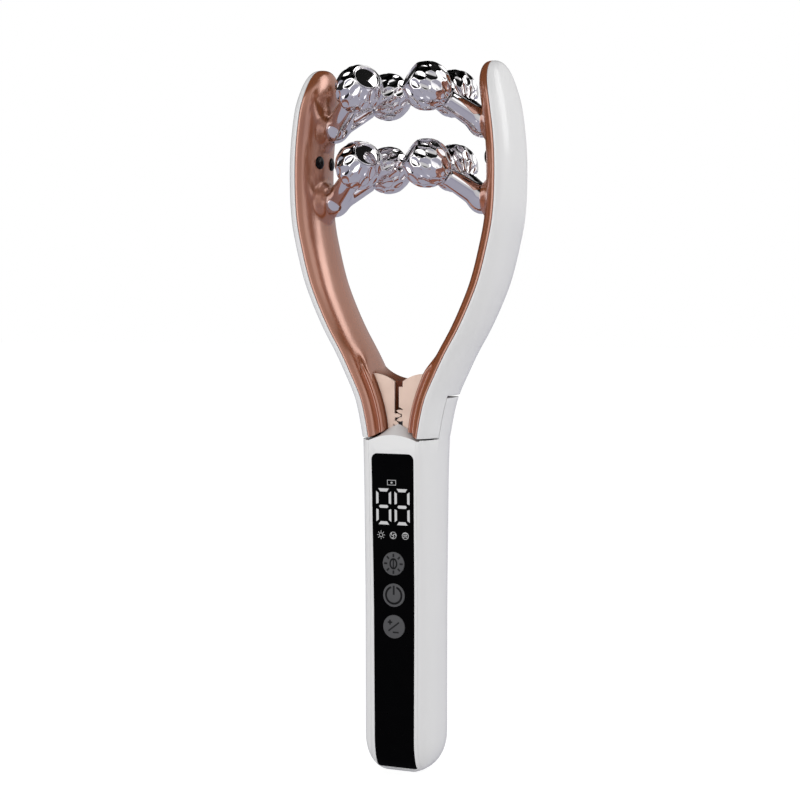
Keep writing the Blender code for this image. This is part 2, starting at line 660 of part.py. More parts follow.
def electronics():
    """Circuit board with the display module, the battery behind it and the charging socket."""
    board_back = -BOARD_FRONT + BOARD_THICKNESS
    box("circuit_board", (-BOARD_HALF_WIDTH, -BOARD_FRONT, BOARD_FOOT + SOCKET_RECESS),
        (BOARD_HALF_WIDTH, board_back, BOARD_TOP), PARTS, "board_green")
    face = -handle_depths(DISPLAY_FOOT)[0] + PANEL_THICKNESS + 2 * SEAT_GAP
    box("display_module", (-DISPLAY_HALF_WIDTH + SEAT_GAP, face, DISPLAY_FOOT + SEAT_GAP),
        (DISPLAY_HALF_WIDTH - SEAT_GAP, -BOARD_FRONT - SEAT_GAP, DISPLAY_TOP - SEAT_GAP), PARTS, "lens_black")
    battery_back = handle_depths(BATTERY_FOOT)[1] - HANDLE_WALL - BATTERY_ROOM
    box("battery_cell", (-BATTERY_HALF_WIDTH, board_back + SEAT_GAP, BATTERY_FOOT),
        (BATTERY_HALF_WIDTH, battery_back, BATTERY_TOP), PARTS, "cell_wrap", bevel=BATTERY_CORNER)
    charging_socket()


def socket_outline(name, grow, foot, top, collection=None, material=None):
    """Flat oval tube of the charging socket, as a solid from foot to top."""
    centre = -BOARD_FRONT + BOARD_THICKNESS + SEAT_GAP + SOCKET_DEPTH / 2
    radius = SOCKET_DEPTH / 2 + grow
    straight = (SOCKET_WIDTH - SOCKET_DEPTH) / 2
    ring = []
    for side, start in ((1, -math.pi / 2), (-1, math.pi / 2)):
        for step in range(9):
            angle = start + math.pi * step / 8
            ring.append((side * straight + radius * math.cos(angle), centre + radius * math.sin(angle)))
    rings = [[(x, y, height) for x, y in ring] for height in (foot, top)]
    return loft(name, rings, collection or CUTTERS, material)


def charging_socket():
    """Metal shell of the socket, open at the foot, with its contact tongue."""
    top = SOCKET_RECESS + SOCKET_LENGTH
    socket = socket_outline("charging_socket", 0.0, SOCKET_RECESS, top, PARTS, "steel")
    boolean(socket, socket_outline("socket_mouth_cutter", -SOCKET_WALL, -OVERRUN, top - SOCKET_WALL))
    centre = -BOARD_FRONT + BOARD_THICKNESS + SEAT_GAP + SOCKET_DEPTH / 2
    half = SOCKET_TONGUE / 2
    tongue = box("socket_tongue", (-SOCKET_WIDTH / 3, centre - half, SOCKET_RECESS + SOCKET_TONGUE),
                 (SOCKET_WIDTH / 3, centre + half, top - SOCKET_WALL / 2), CUTTERS)
    boolean(socket, tongue, "UNION")


def arm_cover(word, side):
    """White outer half of an arm. Its lower end stops above the handle's mouth and tongue."""
    foot = MOUTH_HEIGHT + SEAM_GAP
    rings = []
    for height in arm_heights(foot):
        tip = tip_share(height)
        rings.append(half_ring(side, height, parting_reach(height) + SEAT_GAP / 2,
                               COVER_BULGE * rounded(tip, TIP_WIDTH_FULLNESS),
                               ARM_HALF_DEPTH * rounded(tip, TIP_DEPTH_FULLNESS), COVER_FULLNESS))
    cover = loft(word + "_arm_cover", rings, PARTS, "white_gloss")
    low = (-ARM_REACH, -SPLIT_DEPTH - SPLIT_GAP / 2, MOUTH_HEIGHT - OVERRUN)
    high = (ARM_REACH, ARM_HALF_DEPTH + OVERRUN, LEDGE_HEIGHT + LEDGE_GAP)
    return boolean(cover, box(word + "_tongue_room", low, high, CUTTERS))


def plate_edge(grow):
    """Outer edge of a root plate from its foot up to its top corner."""
    edge = []
    for step in range(9):
        share = step / 8
        bow = (PLATE_TOP_REACH - PLATE_FOOT_REACH) * share ** PLATE_EDGE_BOW
        edge.append((PLATE_FOOT_REACH + bow + grow, lerp(PLATE_FOOT_HEIGHT, PLATE_TOP_HEIGHT, share)))
    return edge


def plate_top():
    """Top edge of a root plate from its outer corner down to the slot."""
    points = []
    for step in range(1, 8):
        share = step / 7
        points.append((lerp(PLATE_TOP_REACH, SLOT_HALF_WIDTH, share),
                       lerp(PLATE_TOP_HEIGHT, CROTCH_HEIGHT, share ** 2)))
    return points


def involute_half_width(radius, base, pitch_half):
    """Half the angle that a tooth covers at a radius, for an involute flank."""
    def roll(r):
        angle = math.acos(min(base / r, 1.0))
        return math.tan(angle) - angle
    return pitch_half + roll(GEAR_PITCH_RADIUS) - roll(max(radius, base))


def gear_flank(phase, low_angle, high_angle):
    """Tooth outline points about the pivot, from the upper angle to the lower one.

    Angles are measured from the line between the two pivots, upward positive.
    """
    module = 2 * GEAR_PITCH_RADIUS / GEAR_TEETH
    base = GEAR_PITCH_RADIUS * math.cos(PRESSURE_ANGLE)
    tip = GEAR_PITCH_RADIUS + module
    root = GEAR_PITCH_RADIUS - module - GEAR_BACKLASH
    pitch_half = (math.pi * GEAR_PITCH_RADIUS / GEAR_TEETH - GEAR_BACKLASH) / 2 / GEAR_PITCH_RADIUS
    step = 2 * math.pi / GEAR_TEETH
    points = []
    for index in (2, 1, 0, -1, -2):
        middle = (index + phase) * step
        if not low_angle < middle < high_angle:
            continue
        radii = [root, lerp(root, tip, 0.33), lerp(root, tip, 0.66), tip]
        upper = [(middle + involute_half_width(r, base, pitch_half), r) for r in radii]
        lower = [(2 * middle - angle, r) for angle, r in reversed(upper)]
        points += upper + lower
    return points


def plate_inner_edge(side):
    """Slot wall, stop bar on one side, gear teeth and foot, as distances from the centre."""
    phase = 0.0 if side < 0 else 0.5
    edge = []
    if side > 0:
        edge += [(SLOT_HALF_WIDTH, STOP_BAR_TOP), (STOP_BAR_REACH, STOP_BAR_TOP), (STOP_BAR_REACH, STOP_BAR_FOOT)]
    pitch_angle = 2 * math.pi / GEAR_TEETH
    flank = gear_flank(phase, -1.3 * pitch_angle, 0.7 * pitch_angle)
    edge.append((SLOT_HALF_WIDTH, PIVOT_HEIGHT + GEAR_PITCH_RADIUS * math.sin(flank[0][0])))
    for angle, radius in flank:
        edge.append((GEAR_PITCH_RADIUS - radius * math.cos(angle), PIVOT_HEIGHT + radius * math.sin(angle)))
    edge.append((SLOT_HALF_WIDTH, PLATE_FOOT_HEIGHT))
    return edge


def root_plate(word, side):
    """Pale gold plate on the front of an arm root, with the meshing gear teeth."""
    outline = [(side * x, z) for x, z in plate_edge(0.0) + plate_top() + plate_inner_edge(side)]
    return front_outline(word + "_gear_plate", outline, -PLATE_FRONT, -PLATE_FRONT + PLATE_THICKNESS, PARTS,
                         "pale_gold")


def plate_pocket(word, side):
    """Room for the plate in the front of the arm frame, open at the slot, the foot and the top."""
    edge = plate_edge(SEAT_GAP)
    below, above = PLATE_FOOT_HEIGHT - OVERRUN, PLATE_TOP_HEIGHT + OVERRUN
    outline = [(-SLOT_HALF_WIDTH, below), (edge[0][0], below)] + edge
    outline += [(edge[-1][0], above), (-SLOT_HALF_WIDTH, above)]
    outline = [(side * x, z) for x, z in outline]
    back = -PLATE_FRONT + PLATE_THICKNESS + SEAT_GAP
    return front_outline(word + "_plate_pocket", outline, -ARM_HALF_DEPTH - OVERRUN, back, CUTTERS)


def fork_root(side, level):
    height = BALL_HEIGHTS[level] - FORK_DROP
    return Vector((side * (parting_reach(height) - FORK_INSETS[level]), 0.0, height))


def ball_centre(side, level, end):
    return Vector((side * BALL_SIDE, end * BALL_DEPTH, BALL_HEIGHTS[level]))


def window_place(side, end):
    """Centre and outward direction of a light window on the inner face of an arm."""
    bulge, fullness = frame_section(WINDOW_HEIGHT)
    share = WINDOW_SIDE_STEP / ARM_HALF_DEPTH
    inner = parting_reach(WINDOW_HEIGHT) - SEAT_GAP / 2 - bulge * rounded(share, fullness)
    tilt = bulge / ARM_HALF_DEPTH * share / rounded(share, fullness)
    place = Vector((side * inner, end * WINDOW_SIDE_STEP, WINDOW_HEIGHT))
    return place, Vector((-side, end * tilt, 0.0)).normalized()


def arm_frame(word, side):
    """Rose gold inner half of an arm, with fork bosses, window seats and the hinge root."""
    rings = []
    for height in arm_heights(MOUTH_HEIGHT - SEAM_GAP):
        bulge, fullness = frame_section(height)
        start = parting_reach(height) - SEAT_GAP / 2
        depth = ARM_HALF_DEPTH * rounded(tip_share(height), TIP_DEPTH_FULLNESS)
        rings.append(half_ring(side, height, start, -(bulge - SEAT_GAP / 2), depth, fullness))
    frame = loft(word + "_arm_frame", rings, PARTS, "rose_gold")
    boolean(frame, plate_pocket(word, side))
    boolean(frame, shelf_cutter(word + "_peak_room", SEAM_GAP, False, PEAK_SWING_ROOM))
    hinge_room(frame, word, side)
    for level in BALL_HEIGHTS:
        seat_fork(frame, word, side, level)
    for end_word, end in ENDS.items():
        place, out = window_place(side, end)
        hole = cone(word + "_" + end_word + "_window_seat", place - out * (WINDOW_SEAT + SEAT_GAP),
                    place + out * OVERRUN, WINDOW_RADIUS + SEAT_GAP, WINDOW_RADIUS + SEAT_GAP, CUTTERS)
        boolean(frame, hole)
    return frame


def spring_room_outline(side):
    """Front view of the room round a pin: round above the pivot and open below it."""
    radius = SPRING_POCKET_RADIUS
    below = MOUTH_HEIGHT - OVERRUN
    outline = [(-GEAR_PITCH_RADIUS, below), (ARM_REACH, below), (ARM_REACH, PIVOT_HEIGHT)]
    for step in range(13):
        angle = math.pi * step / 12
        outline.append((GEAR_PITCH_RADIUS + radius * math.cos(angle), PIVOT_HEIGHT + radius * math.sin(angle)))
    outline.append((-GEAR_PITCH_RADIUS, PIVOT_HEIGHT))
    return [(side * x, z) for x, z in outline]


def hinge_room(frame, word, side):
    """Cut the arm root free for the bracket, the spring and the pin."""
    front = -PLATE_FRONT + PLATE_THICKNESS
    deep = ARM_HALF_DEPTH + OVERRUN
    boolean(frame, box(word + "_foot_cutter", (-ARM_REACH, -PLATE_FRONT - SEAT_GAP / 2, MOUTH_HEIGHT - 2 * OVERRUN),
                       (ARM_REACH, deep, FRAME_FOOT_HEIGHT), CUTTERS))
    boolean(frame, box(word + "_rear_root_cutter", (-ARM_REACH, BARREL_BACK, MOUTH_HEIGHT - OVERRUN),
                       (ARM_REACH, deep, LEDGE_HEIGHT + LEDGE_GAP), CUTTERS))
    boolean(frame, front_outline(word + "_spring_room", spring_room_outline(side), front, BARREL_FRONT, CUTTERS))
    pivot = side * GEAR_PITCH_RADIUS
    bore = PIN_RADIUS + BORE_CLEARANCE
    boolean(frame, cone(word + "_hinge_bore", (pivot, 0.0, PIVOT_HEIGHT),
                        (pivot, BARREL_BACK + OVERRUN, PIVOT_HEIGHT), bore, bore, CUTTERS))


def seat_fork(frame, word, side, level):
    """Flared boss on the arm's inner face with a bore for the fork's foot."""
    root = fork_root(side, level)
    out = Vector((side, 0.0, 0.0))
    name = word + "_" + level
    boss = cone(name + "_boss", root + out * BOSS_STEP, root + out * FOOT_LENGTH, FOOT_RADIUS + BOSS_WALL,
                BOSS_RADIUS, CUTTERS)
    boolean(frame, boss, "UNION")
    bore = FOOT_RADIUS + SEAT_GAP
    boolean(frame, cone(name + "_foot_bore", root - out * OVERRUN, root + out * (FOOT_LENGTH + SEAT_GAP),
                        bore, bore, CUTTERS))


def roller_fork(word, side, level):
    """Chrome fork: a foot in the arm's boss and two tapered branches, one to each ball."""
    root = fork_root(side, level)
    out = Vector((side, 0.0, 0.0))
    name = word + "_" + level + "_fork"
    fork = cone(name, root, root + out * FOOT_LENGTH, FOOT_RADIUS, FOOT_RADIUS, PARTS, "chrome", segments=16)
    boolean(fork, ball_solid(name + "_knuckle", root, KNUCKLE_RADIUS, CUTTERS, segments=14), "UNION")
    neck = math.sqrt(BALL_RADIUS ** 2 - NECK_RADIUS ** 2)
    for end_word, end in ENDS.items():
        centre = ball_centre(side, level, end)
        along = (centre - root).normalized()
        tip = centre - along * (neck + NECK_GAP)
        label = word + "_" + level + "_" + end_word
        branch = cone(label + "_branch", root, tip, BRANCH_ROOT_RADIUS, BRANCH_TIP_RADIUS, CUTTERS,
                      segments=16, roll=BRANCH_ROLL * (1 + end))
        boolean(fork, branch, "UNION")
        hole = AXLE_RADIUS + SEAT_GAP
        boolean(fork, cone(label + "_axle_seat", tip - along * (AXLE_SEAT + SEAT_GAP), tip + along * OVERRUN,
                           hole, hole, CUTTERS, segments=10))
    return fork


def dimple(point, row, step):
    """Push in every other point of every other row, staggered from row to row."""
    if row % 2 == 0 or row > 2 * DIMPLE_ROWS:
        return point
    if (step + row // 2) % 2:
        return point
    return point * (1 - DIMPLE_DEPTH / BALL_RADIUS)


def ball_profile():
    """Closed half section of a ball about its axle, from the neck round to the cap seat."""
    neck = math.sqrt(BALL_RADIUS ** 2 - NECK_RADIUS ** 2)
    cap = math.sqrt(BALL_RADIUS ** 2 - CAP_RADIUS ** 2)
    bore = AXLE_RADIUS + BORE_CLEARANCE
    seat = cap - CAP_SEAT_DEPTH
    low = math.asin(neck / BALL_RADIUS)
    high = math.asin(cap / BALL_RADIUS)
    rows = 2 * DIMPLE_ROWS + 1
    outer = []
    for row in range(rows + 1):
        angle = lerp(-low, high, row / rows)
        outer.append((BALL_RADIUS * math.cos(angle), BALL_RADIUS * math.sin(angle)))
    inner = [(CAP_RADIUS - CAP_RIM, cap), (CAP_RADIUS - CAP_RIM, seat), (bore, seat), (bore, -neck)]
    return outer + inner, seat, cap, neck


def roller(word, side, level, end_word, end):
    """Ball, end cap and axle on one branch. All three share the branch's direction."""
    centre = ball_centre(side, level, end)
    along = (centre - fork_root(side, level)).normalized()
    place = Matrix.Translation(centre) @ along.to_track_quat("Z", "Y").to_matrix().to_4x4()
    profile, seat, cap, neck = ball_profile()
    label = word + "_" + level + "_" + end_word
    ball = turned(label + "_ball", profile, 2 * DIMPLES_PER_ROW, PARTS, "chrome", reshape=dimple)
    cap_radius = CAP_RADIUS - CAP_RIM - SEAT_GAP
    cap_foot = cap - CAP_THICKNESS
    lid = turned(label + "_cap", [(0.0, cap_foot), (cap_radius, cap_foot), (cap_radius, cap), (0.0, cap - CAP_RIM)],
                 2 * DIMPLES_PER_ROW, PARTS, "chrome")
    start = -neck - NECK_GAP - AXLE_SEAT
    head = seat + SEAT_GAP
    head_end = head + AXLE_HEAD_THICKNESS
    axle = turned(label + "_axle", [(0.0, start), (AXLE_RADIUS, start), (AXLE_RADIUS, head), (AXLE_HEAD_RADIUS, head),
                                    (AXLE_HEAD_RADIUS, head_end), (0.0, head_end)], 8, PARTS, "steel")
    for piece in (ball, lid, axle):
        piece.matrix_world = place


def light_window(word, side, end_word, end):
    """Black domed round lens, seated in the arm's inner face."""
    place, out = window_place(side, end)
    profile = [(0.0, -WINDOW_SEAT), (WINDOW_RADIUS, -WINDOW_SEAT), (WINDOW_RADIUS, 0.0)]
    for step in range(1, 4):
        angle = math.pi / 2 * step / 3
        profile.append((WINDOW_RADIUS * math.cos(angle) if step < 3 else 0.0, WINDOW_PROUD * math.sin(angle)))
    lens = turned(word + "_" + end_word + "_light_window", profile, 12, PARTS, "lens_black")
    lens.matrix_world = Matrix.Translation(place) @ out.to_track_quat("Z", "Y").to_matrix().to_4x4()


def hinge_bracket():
    """Steel bracket that carries both hinge pins between two cheeks."""
    outline = [(BRACKET_HALF_WIDTH, BRACKET_FOOT)]
    saddle = PIVOT_HEIGHT - SEAM_GAP
    for step in range(8):
        angle = lerp(-math.pi / 4, math.pi, step / 7)
        outline.append((GEAR_PITCH_RADIUS + CHEEK_LOBE_RADIUS * math.cos(angle),
                        PIVOT_HEIGHT + CHEEK_LOBE_RADIUS * math.sin(angle)))
    outline.append((GEAR_PITCH_RADIUS - CHEEK_LOBE_RADIUS, saddle))
    outline += [(-x, z) for x, z in reversed(outline)]
    bracket = front_outline("hinge_bracket", outline, -BRACKET_FRONT, BRACKET_BACK, PARTS, "steel")
    room = box("bracket_room", (-ARM_REACH, -BRACKET_FRONT + CHEEK_THICKNESS, BRACKET_BASE_TOP),
               (ARM_REACH, BRACKET_BACK - CHEEK_THICKNESS, TOTAL_HEIGHT), CUTTERS)
    boolean(bracket, room)
    for word, side in SIDES.items():
        bore = PIN_RADIUS + SEAT_GAP
        boolean(bracket, cone(word + "_bracket_bore", (side * GEAR_PITCH_RADIUS, -BRACKET_FRONT - OVERRUN, PIVOT_HEIGHT),
                              (side * GEAR_PITCH_RADIUS, BRACKET_BACK + OVERRUN, PIVOT_HEIGHT), bore, bore, CUTTERS))


def hinge_pin(word, side):
    x = side * GEAR_PITCH_RADIUS
    cone(word + "_hinge_pin", (x, -BRACKET_FRONT, PIVOT_HEIGHT), (x, BRACKET_BACK, PIVOT_HEIGHT),
         PIN_RADIUS, PIN_RADIUS, PARTS, "steel")


def return_spring(word, side):
    """Torsion spring round a hinge pin, with one leg down to the bracket."""
    x = side * GEAR_PITCH_RADIUS
    start = -BRACKET_FRONT + CHEEK_THICKNESS + SEAT_GAP + SPRING_WIRE_RADIUS
    per_turn = 8
    points = [(x + side * SPRING_COIL_RADIUS, start, BRACKET_BASE_TOP + SEAT_GAP)]
    for step in range(SPRING_TURNS * per_turn + 1):
        angle = side * 2 * math.pi * step / per_turn
        y = start + SPRING_PITCH * step / per_turn
        points.append((x + side * SPRING_COIL_RADIUS * math.cos(angle), y,
                       PIVOT_HEIGHT + SPRING_COIL_RADIUS * math.sin(abs(angle))))
    wire(word + "_return_spring", points, SPRING_WIRE_RADIUS, PARTS, "steel")


def build():
    rear_shell()
    front_cover()
    display_panel()
    for name, height in KEY_HEIGHTS.items():
        place_key(name, height)
    electronics()
    hinge_bracket()
    for word, side in SIDES.items():
        hinge_pin(word, side)
        return_spring(word, side)
        arm_cover(word, side)
        arm_frame(word, side)
        root_plate(word, side)
        for end_word, end in ENDS.items():
            light_window(word, side, end_word, end)
        for level in BALL_HEIGHTS:
            roller_fork(word, side, level)
            for end_word, end in ENDS.items():
                roller(word, side, level, end_word, end)


build()
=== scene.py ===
from contextlib import contextmanager
from math import acos, asin, atan2, copysign, cos, degrees, hypot, pi, radians, sin, sqrt, tan

import bmesh
import bpy
import numpy as np
from mathutils import Matrix, Vector

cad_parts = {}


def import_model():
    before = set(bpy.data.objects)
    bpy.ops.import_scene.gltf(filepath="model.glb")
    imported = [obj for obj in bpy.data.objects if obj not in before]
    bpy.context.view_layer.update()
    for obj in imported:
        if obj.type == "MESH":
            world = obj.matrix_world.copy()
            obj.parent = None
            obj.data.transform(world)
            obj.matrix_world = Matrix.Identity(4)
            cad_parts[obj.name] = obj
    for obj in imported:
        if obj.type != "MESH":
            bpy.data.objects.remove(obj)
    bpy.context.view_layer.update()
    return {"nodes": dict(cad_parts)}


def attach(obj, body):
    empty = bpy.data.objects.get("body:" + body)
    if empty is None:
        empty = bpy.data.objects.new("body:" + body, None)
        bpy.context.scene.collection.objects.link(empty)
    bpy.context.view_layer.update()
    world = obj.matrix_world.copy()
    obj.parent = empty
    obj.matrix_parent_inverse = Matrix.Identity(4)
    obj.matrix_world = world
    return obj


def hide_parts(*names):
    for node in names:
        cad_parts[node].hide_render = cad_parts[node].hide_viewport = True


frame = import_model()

# Heights and clearances of the CAD model, in metres
TOTAL_HEIGHT = 0.235
MOUTH_HEIGHT = 0.1116
LEDGE_HEIGHT = 0.1252
PIVOT_HEIGHT = 0.1194
CROTCH_HEIGHT = 0.1307
CROTCH_BLEND = 0.0058
CROTCH_TOP = CROTCH_HEIGHT + CROTCH_BLEND
SEAT_GAP = 0.0003
SEAM_GAP = 0.00055
LEDGE_GAP = 0.0008
SWING_GAP = 0.0011
OVERRUN = 0.004
WELD = SEAT_GAP / 100
CREASE = 30.0

# Arms
ARM_REACH = 0.0356
ARM_HALF_DEPTH = 0.0125
IN_FRONT = -ARM_HALF_DEPTH - OVERRUN
BEHIND = ARM_HALF_DEPTH + OVERRUN
COVER_BULGE = 0.0044
FRAME_BULGE = 0.0056
TIP_LENGTH = 0.018
SLOT_HALF_WIDTH = 0.00147
FRAME_FOOT_HEIGHT = 0.1134
ARM_OUTLINE_SHARES = [
    (0.000, 0.240), (0.068, 0.284), (0.117, 0.331), (0.173, 0.421), (0.230, 0.520),
    (0.295, 0.649), (0.360, 0.758), (0.425, 0.848), (0.506, 0.924), (0.587, 0.980),
    (0.684, 1.000), (0.781, 0.992), (0.878, 0.952), (0.943, 0.907), (1.000, 0.874)]
COVER_FULLNESS = 2.4
FRAME_FULLNESS = 2.0
TIP_DEPTH_FULLNESS = 2.3
TIP_WIDTH_FULLNESS = 3.0
TIP_END_SHARE = 0.9995
EDGE_ROUND = 0.00022
EDGE_LIMIT_SHARE = 0.3
CORNER_POINTS = 5
FRAME_CREASE = 40.0
ROOT_FRONT_DEPTH = 0.0069
ROOT_CORNER = 0.0015
RIDGE_TOP = 0.1425
RIDGE_INSET_SHARES = [(0, 0.0), (15, 0.22), (30, 0.42), (40, 0.53), (50, 0.64), (60, 0.76), (70, 0.88),
                      (80, 0.965), (90, 1.0)]
RIDGE_DEPTH_SHARES = [(0, 1.0), (15, 0.97), (30, 0.895), (38, 0.82), (44, 0.75), (50, 0.735), (57, 0.77),
                      (65, 0.79), (73, 0.765), (80, 0.68), (86, 0.42), (90, 0.0)]
PARTING_GAP = 0.00012

# Handle
HANDLE_FLAT_HALF = 0.0085
HANDLE_BULGE = 0.0041
HANDLE_WALL = 0.0018
FRONT_DEPTH_SHARES = [(0.0, 0.850), (0.27, 0.856), (0.54, 0.872), (0.76, 0.928), (0.90, 0.960), (1.0, 0.992)]
REAR_DEPTH_SHARES = [(0.0, 0.792), (0.27, 0.792), (0.54, 0.808), (0.76, 0.872), (0.90, 0.904), (1.0, 0.960)]
END_ROUND_HEIGHT = 0.012
END_ROUND_SIDE = 0.0075
END_ROUND_DEPTH = 0.0058
SPLIT_DEPTH = 0.0034
SPLIT_GAP = 0.0004
TONGUE_WALL_BACK = 0.0095
COVER_PLATE_THICKNESS = 0.0026
COVER_PLATE_FOOT = 0.0052
SEAM_LINE = 0.00006
MOUTH_SWELL_POWER = 12

# Peak of the front cover
PEAK_HEIGHT = 0.1166
PEAK_FALL = 0.0055
PEAK_SHELF_HEIGHT = 0.1132
PEAK_SHELF_FALL = 0.00185
PEAK_BLOCK_FOOT = 0.1085
PEAK_SWING_ROOM = 0.0004
RIM_ROUND = 0.00025

# Panel, keys and socket
PANEL_TOP = 0.107
PANEL_HALF_WIDTH_TOP = 0.0075
PANEL_HALF_WIDTH_FOOT = 0.007
PANEL_CORNER = 0.002
PANEL_THICKNESS = 0.001
PANEL_FOOT_DEPTH = 0.0077
PANEL_GAP = 0.0001
KEY_HEIGHTS = {"mode": 0.07056, "power": 0.06004, "level": 0.04951}
KEY_RADIUS = 0.0039
KEY_PROUD = 0.00015
KEY_FLANGE_RADIUS = 0.0048
KEY_FLANGE_THICKNESS = 0.0008
KEY_STEM_RADIUS = 0.0015
KEY_GAP = 0.00012
BOARD_FRONT = 0.0046
BOARD_THICKNESS = 0.001
SWITCH_HEIGHT = 0.0009
KEY_TRAVEL = 0.0004
SOCKET_WIDTH = 0.00894
SOCKET_DEPTH = 0.0032

# Geared roots
GEAR_TEETH = 14
GEAR_PITCH_RADIUS = 0.0063
PRESSURE_ANGLE = radians(25.0)
GEAR_BACKLASH = 0.00028
PLATE_FRONT = 0.0071
PLATE_THICKNESS = 0.002
PLATE_LOOK_THICKNESS = 0.0009
PLATE_TOP_HEIGHT = 0.1333
PLATE_TOP_REACH = 0.009
PLATE_EDGE_BOW = 1.7
PLATE_FOOT_HEIGHT = 0.1135
PLATE_FOOT_REACH = 0.0037
STOP_BAR_TOP = 0.1289
STOP_BAR_FOOT = 0.1222
STOP_BAR_REACH = 0.0001
BARREL_FRONT = 0.0026
BARREL_BACK = 0.0072
SPRING_POCKET_RADIUS = 0.0037

# Rollers
BALL_RADIUS = 0.0081
BALL_TRIM = 0.00005
BALL_SIDE = 0.0121
BALL_DEPTH = 0.01175
BALL_HEIGHTS = {"upper": 0.2266, "lower": 0.2018}
FORK_ROOT_SIDE = 0.0268
FORK_DROP = 0.0113
CAP_RADIUS = 0.0049
CAP_SEAT_DEPTH = 0.0024
CAP_RIM = 0.0004
CAP_GAP = 0.00008
CAP_ROLL = 0.00022
CAP_DOME = 0.0004
CAP_THICKNESS = 0.0008
NECK_RADIUS = 0.0034
NECK_GAP = 0.0004
CAP_PLANE = sqrt(BALL_RADIUS ** 2 - CAP_RADIUS ** 2)
NECK_PLANE = sqrt(BALL_RADIUS ** 2 - NECK_RADIUS ** 2)
LIP_INSET_SHARE = 0.3
LIP_RISE_SHARE = 0.12
LIP_DROP_SHARE = 0.2
AXLE_RADIUS = 0.00125
BORE_CLEARANCE = 0.0003
BRANCH_TIP_RADIUS = 0.003
BRANCH_ROOT_RADIUS = 0.0040
KNUCKLE_RADIUS = 0.00435
FOOT_LENGTH = 0.0064
FOOT_RADIUS = 0.0041
FOOT_MELT = 0.0015
CROTCH_MELT = 0.0016
TIP_BLEND = 0.0008
FORK_VOXEL = 0.0003
LEAST_SLOPE = 0.25
BOSS_FACE_STEP = 0.0008
BOSS_FACE_RADIUS = 0.0045
BOSS_FLARE_LENGTH = 0.0029
BOSS_BLEND = 0.0012
DIMPLES_PER_ROW = 13
DIMPLE_ROWS = 5
DIMPLE_FIRST_ANGLE = radians(54.0)
DIMPLE_ROW_ANGLE = radians(22.5)
DIMPLE_DEPTH = 0.0006
DIMPLE_HALF_LENGTH = 0.0021
DIMPLE_HALF_WIDTH = 0.00145
DIMPLE_NARROW_SHARE = 1.15
DIMPLE_POWER = 0.8

# Display and key symbols
DIGIT_STEP = 0.00332
DIGIT_HEIGHT = 0.0895
DIGIT_HALF_WIDTH = 0.0027
DIGIT_HALF_HEIGHT = 0.006
DIGIT_BAR = 0.00105
# Bars of a digit: each corner's place in half widths and half heights, then its shift in bar widths
DIGIT_BAR_SHARES = [
    {"copies": [(1, 1), (1, -1)],
     "corners": [(-1, 1, 0.75, 0), (1, 1, -0.75, 0), (1, 1, -1.45, -1), (-1, 1, 1.45, -1)]},
    {"copies": [(1, 1), (1, -1), (-1, 1), (-1, -1)],
     "corners": [(1, 1, 0, -0.9), (1, 0, 0, 0.75), (1, 0, -0.8, 1.05), (1, 1, -0.8, -1.5)]},
    {"copies": [(1, 1)],
     "corners": [(-1, 0, 1.35, 0.48), (1, 0, -1.35, 0.48), (1, 0, -0.95, 0), (1, 0, -1.35, -0.48),
                 (-1, 0, 1.35, -0.48), (-1, 0, 0.95, 0)]}]
BATTERY_ICON_HEIGHT = 0.0975
BATTERY_ICON_SIDE = -0.00038
BATTERY_ICON_HALF_WIDTH = 0.0015
BATTERY_ICON_HALF_HEIGHT = 0.0008
ICON_STEP = 0.00439
ICON_HEIGHT = 0.08
ICON_RADIUS = 0.00125
ICON_LINE = 0.00018
ICON_SHARES = {"sun": 0.5, "ray_start": 0.75, "ray_end": 1.1, "ring": 0.9, "hub": 0.38, "lobe": 0.34,
               "bow_step": 0.45, "bow_height": 0.5, "dot_height": 0.76}
BOLD_SHARE = 1.3
STROKE_END_SHARE = 0.4
GLYPH_RAISE = 0.00003
SYMBOL_SIZE = 0.0028
SYMBOL_LINE = 0.0005
SYMBOL_SHARES = {"oval": 0.42, "oval_height": 0.58 / 0.42, "ray_start": 0.84, "ray_end": 1.16, "ray": 1.2}
SYMBOL_BAR_SHARES = {
    "mode": [(0, -0.5, 0, 0.5)],
    "power": [(0, 1.1, 0, 0.1)],
    "level": [(-0.76, 0.52, -0.24, 0.52), (-0.5, 0.26, -0.5, 0.78), (-0.68, -0.5, 0.64, 0.52),
              (-0.1, -0.66, 0.58, -0.66)]}
POWER_SIGN_ANGLES = (112.0, 428.0)
KEY_EDGE = 0.0001

# Materials
GRAIN_HEIGHT = 0.0001
NOISE_LOW_SHARE = 0.3
NOISE_HIGH_SHARE = 0.7
COLOUR_DETAIL = 3.0
BUMP_DETAIL = 2.0
BRUSHED_STRETCH = (1.0, 1.0, 8.0)
INSIDE_LOOKS = {"axle": "steel", "pin": "steel", "spring": "steel", "bracket": "steel", "switch": "steel",
                "socket": "steel", "circuit_board": "board_green", "battery_cell": "cell_wrap",
                "display_module": "lens_black"}

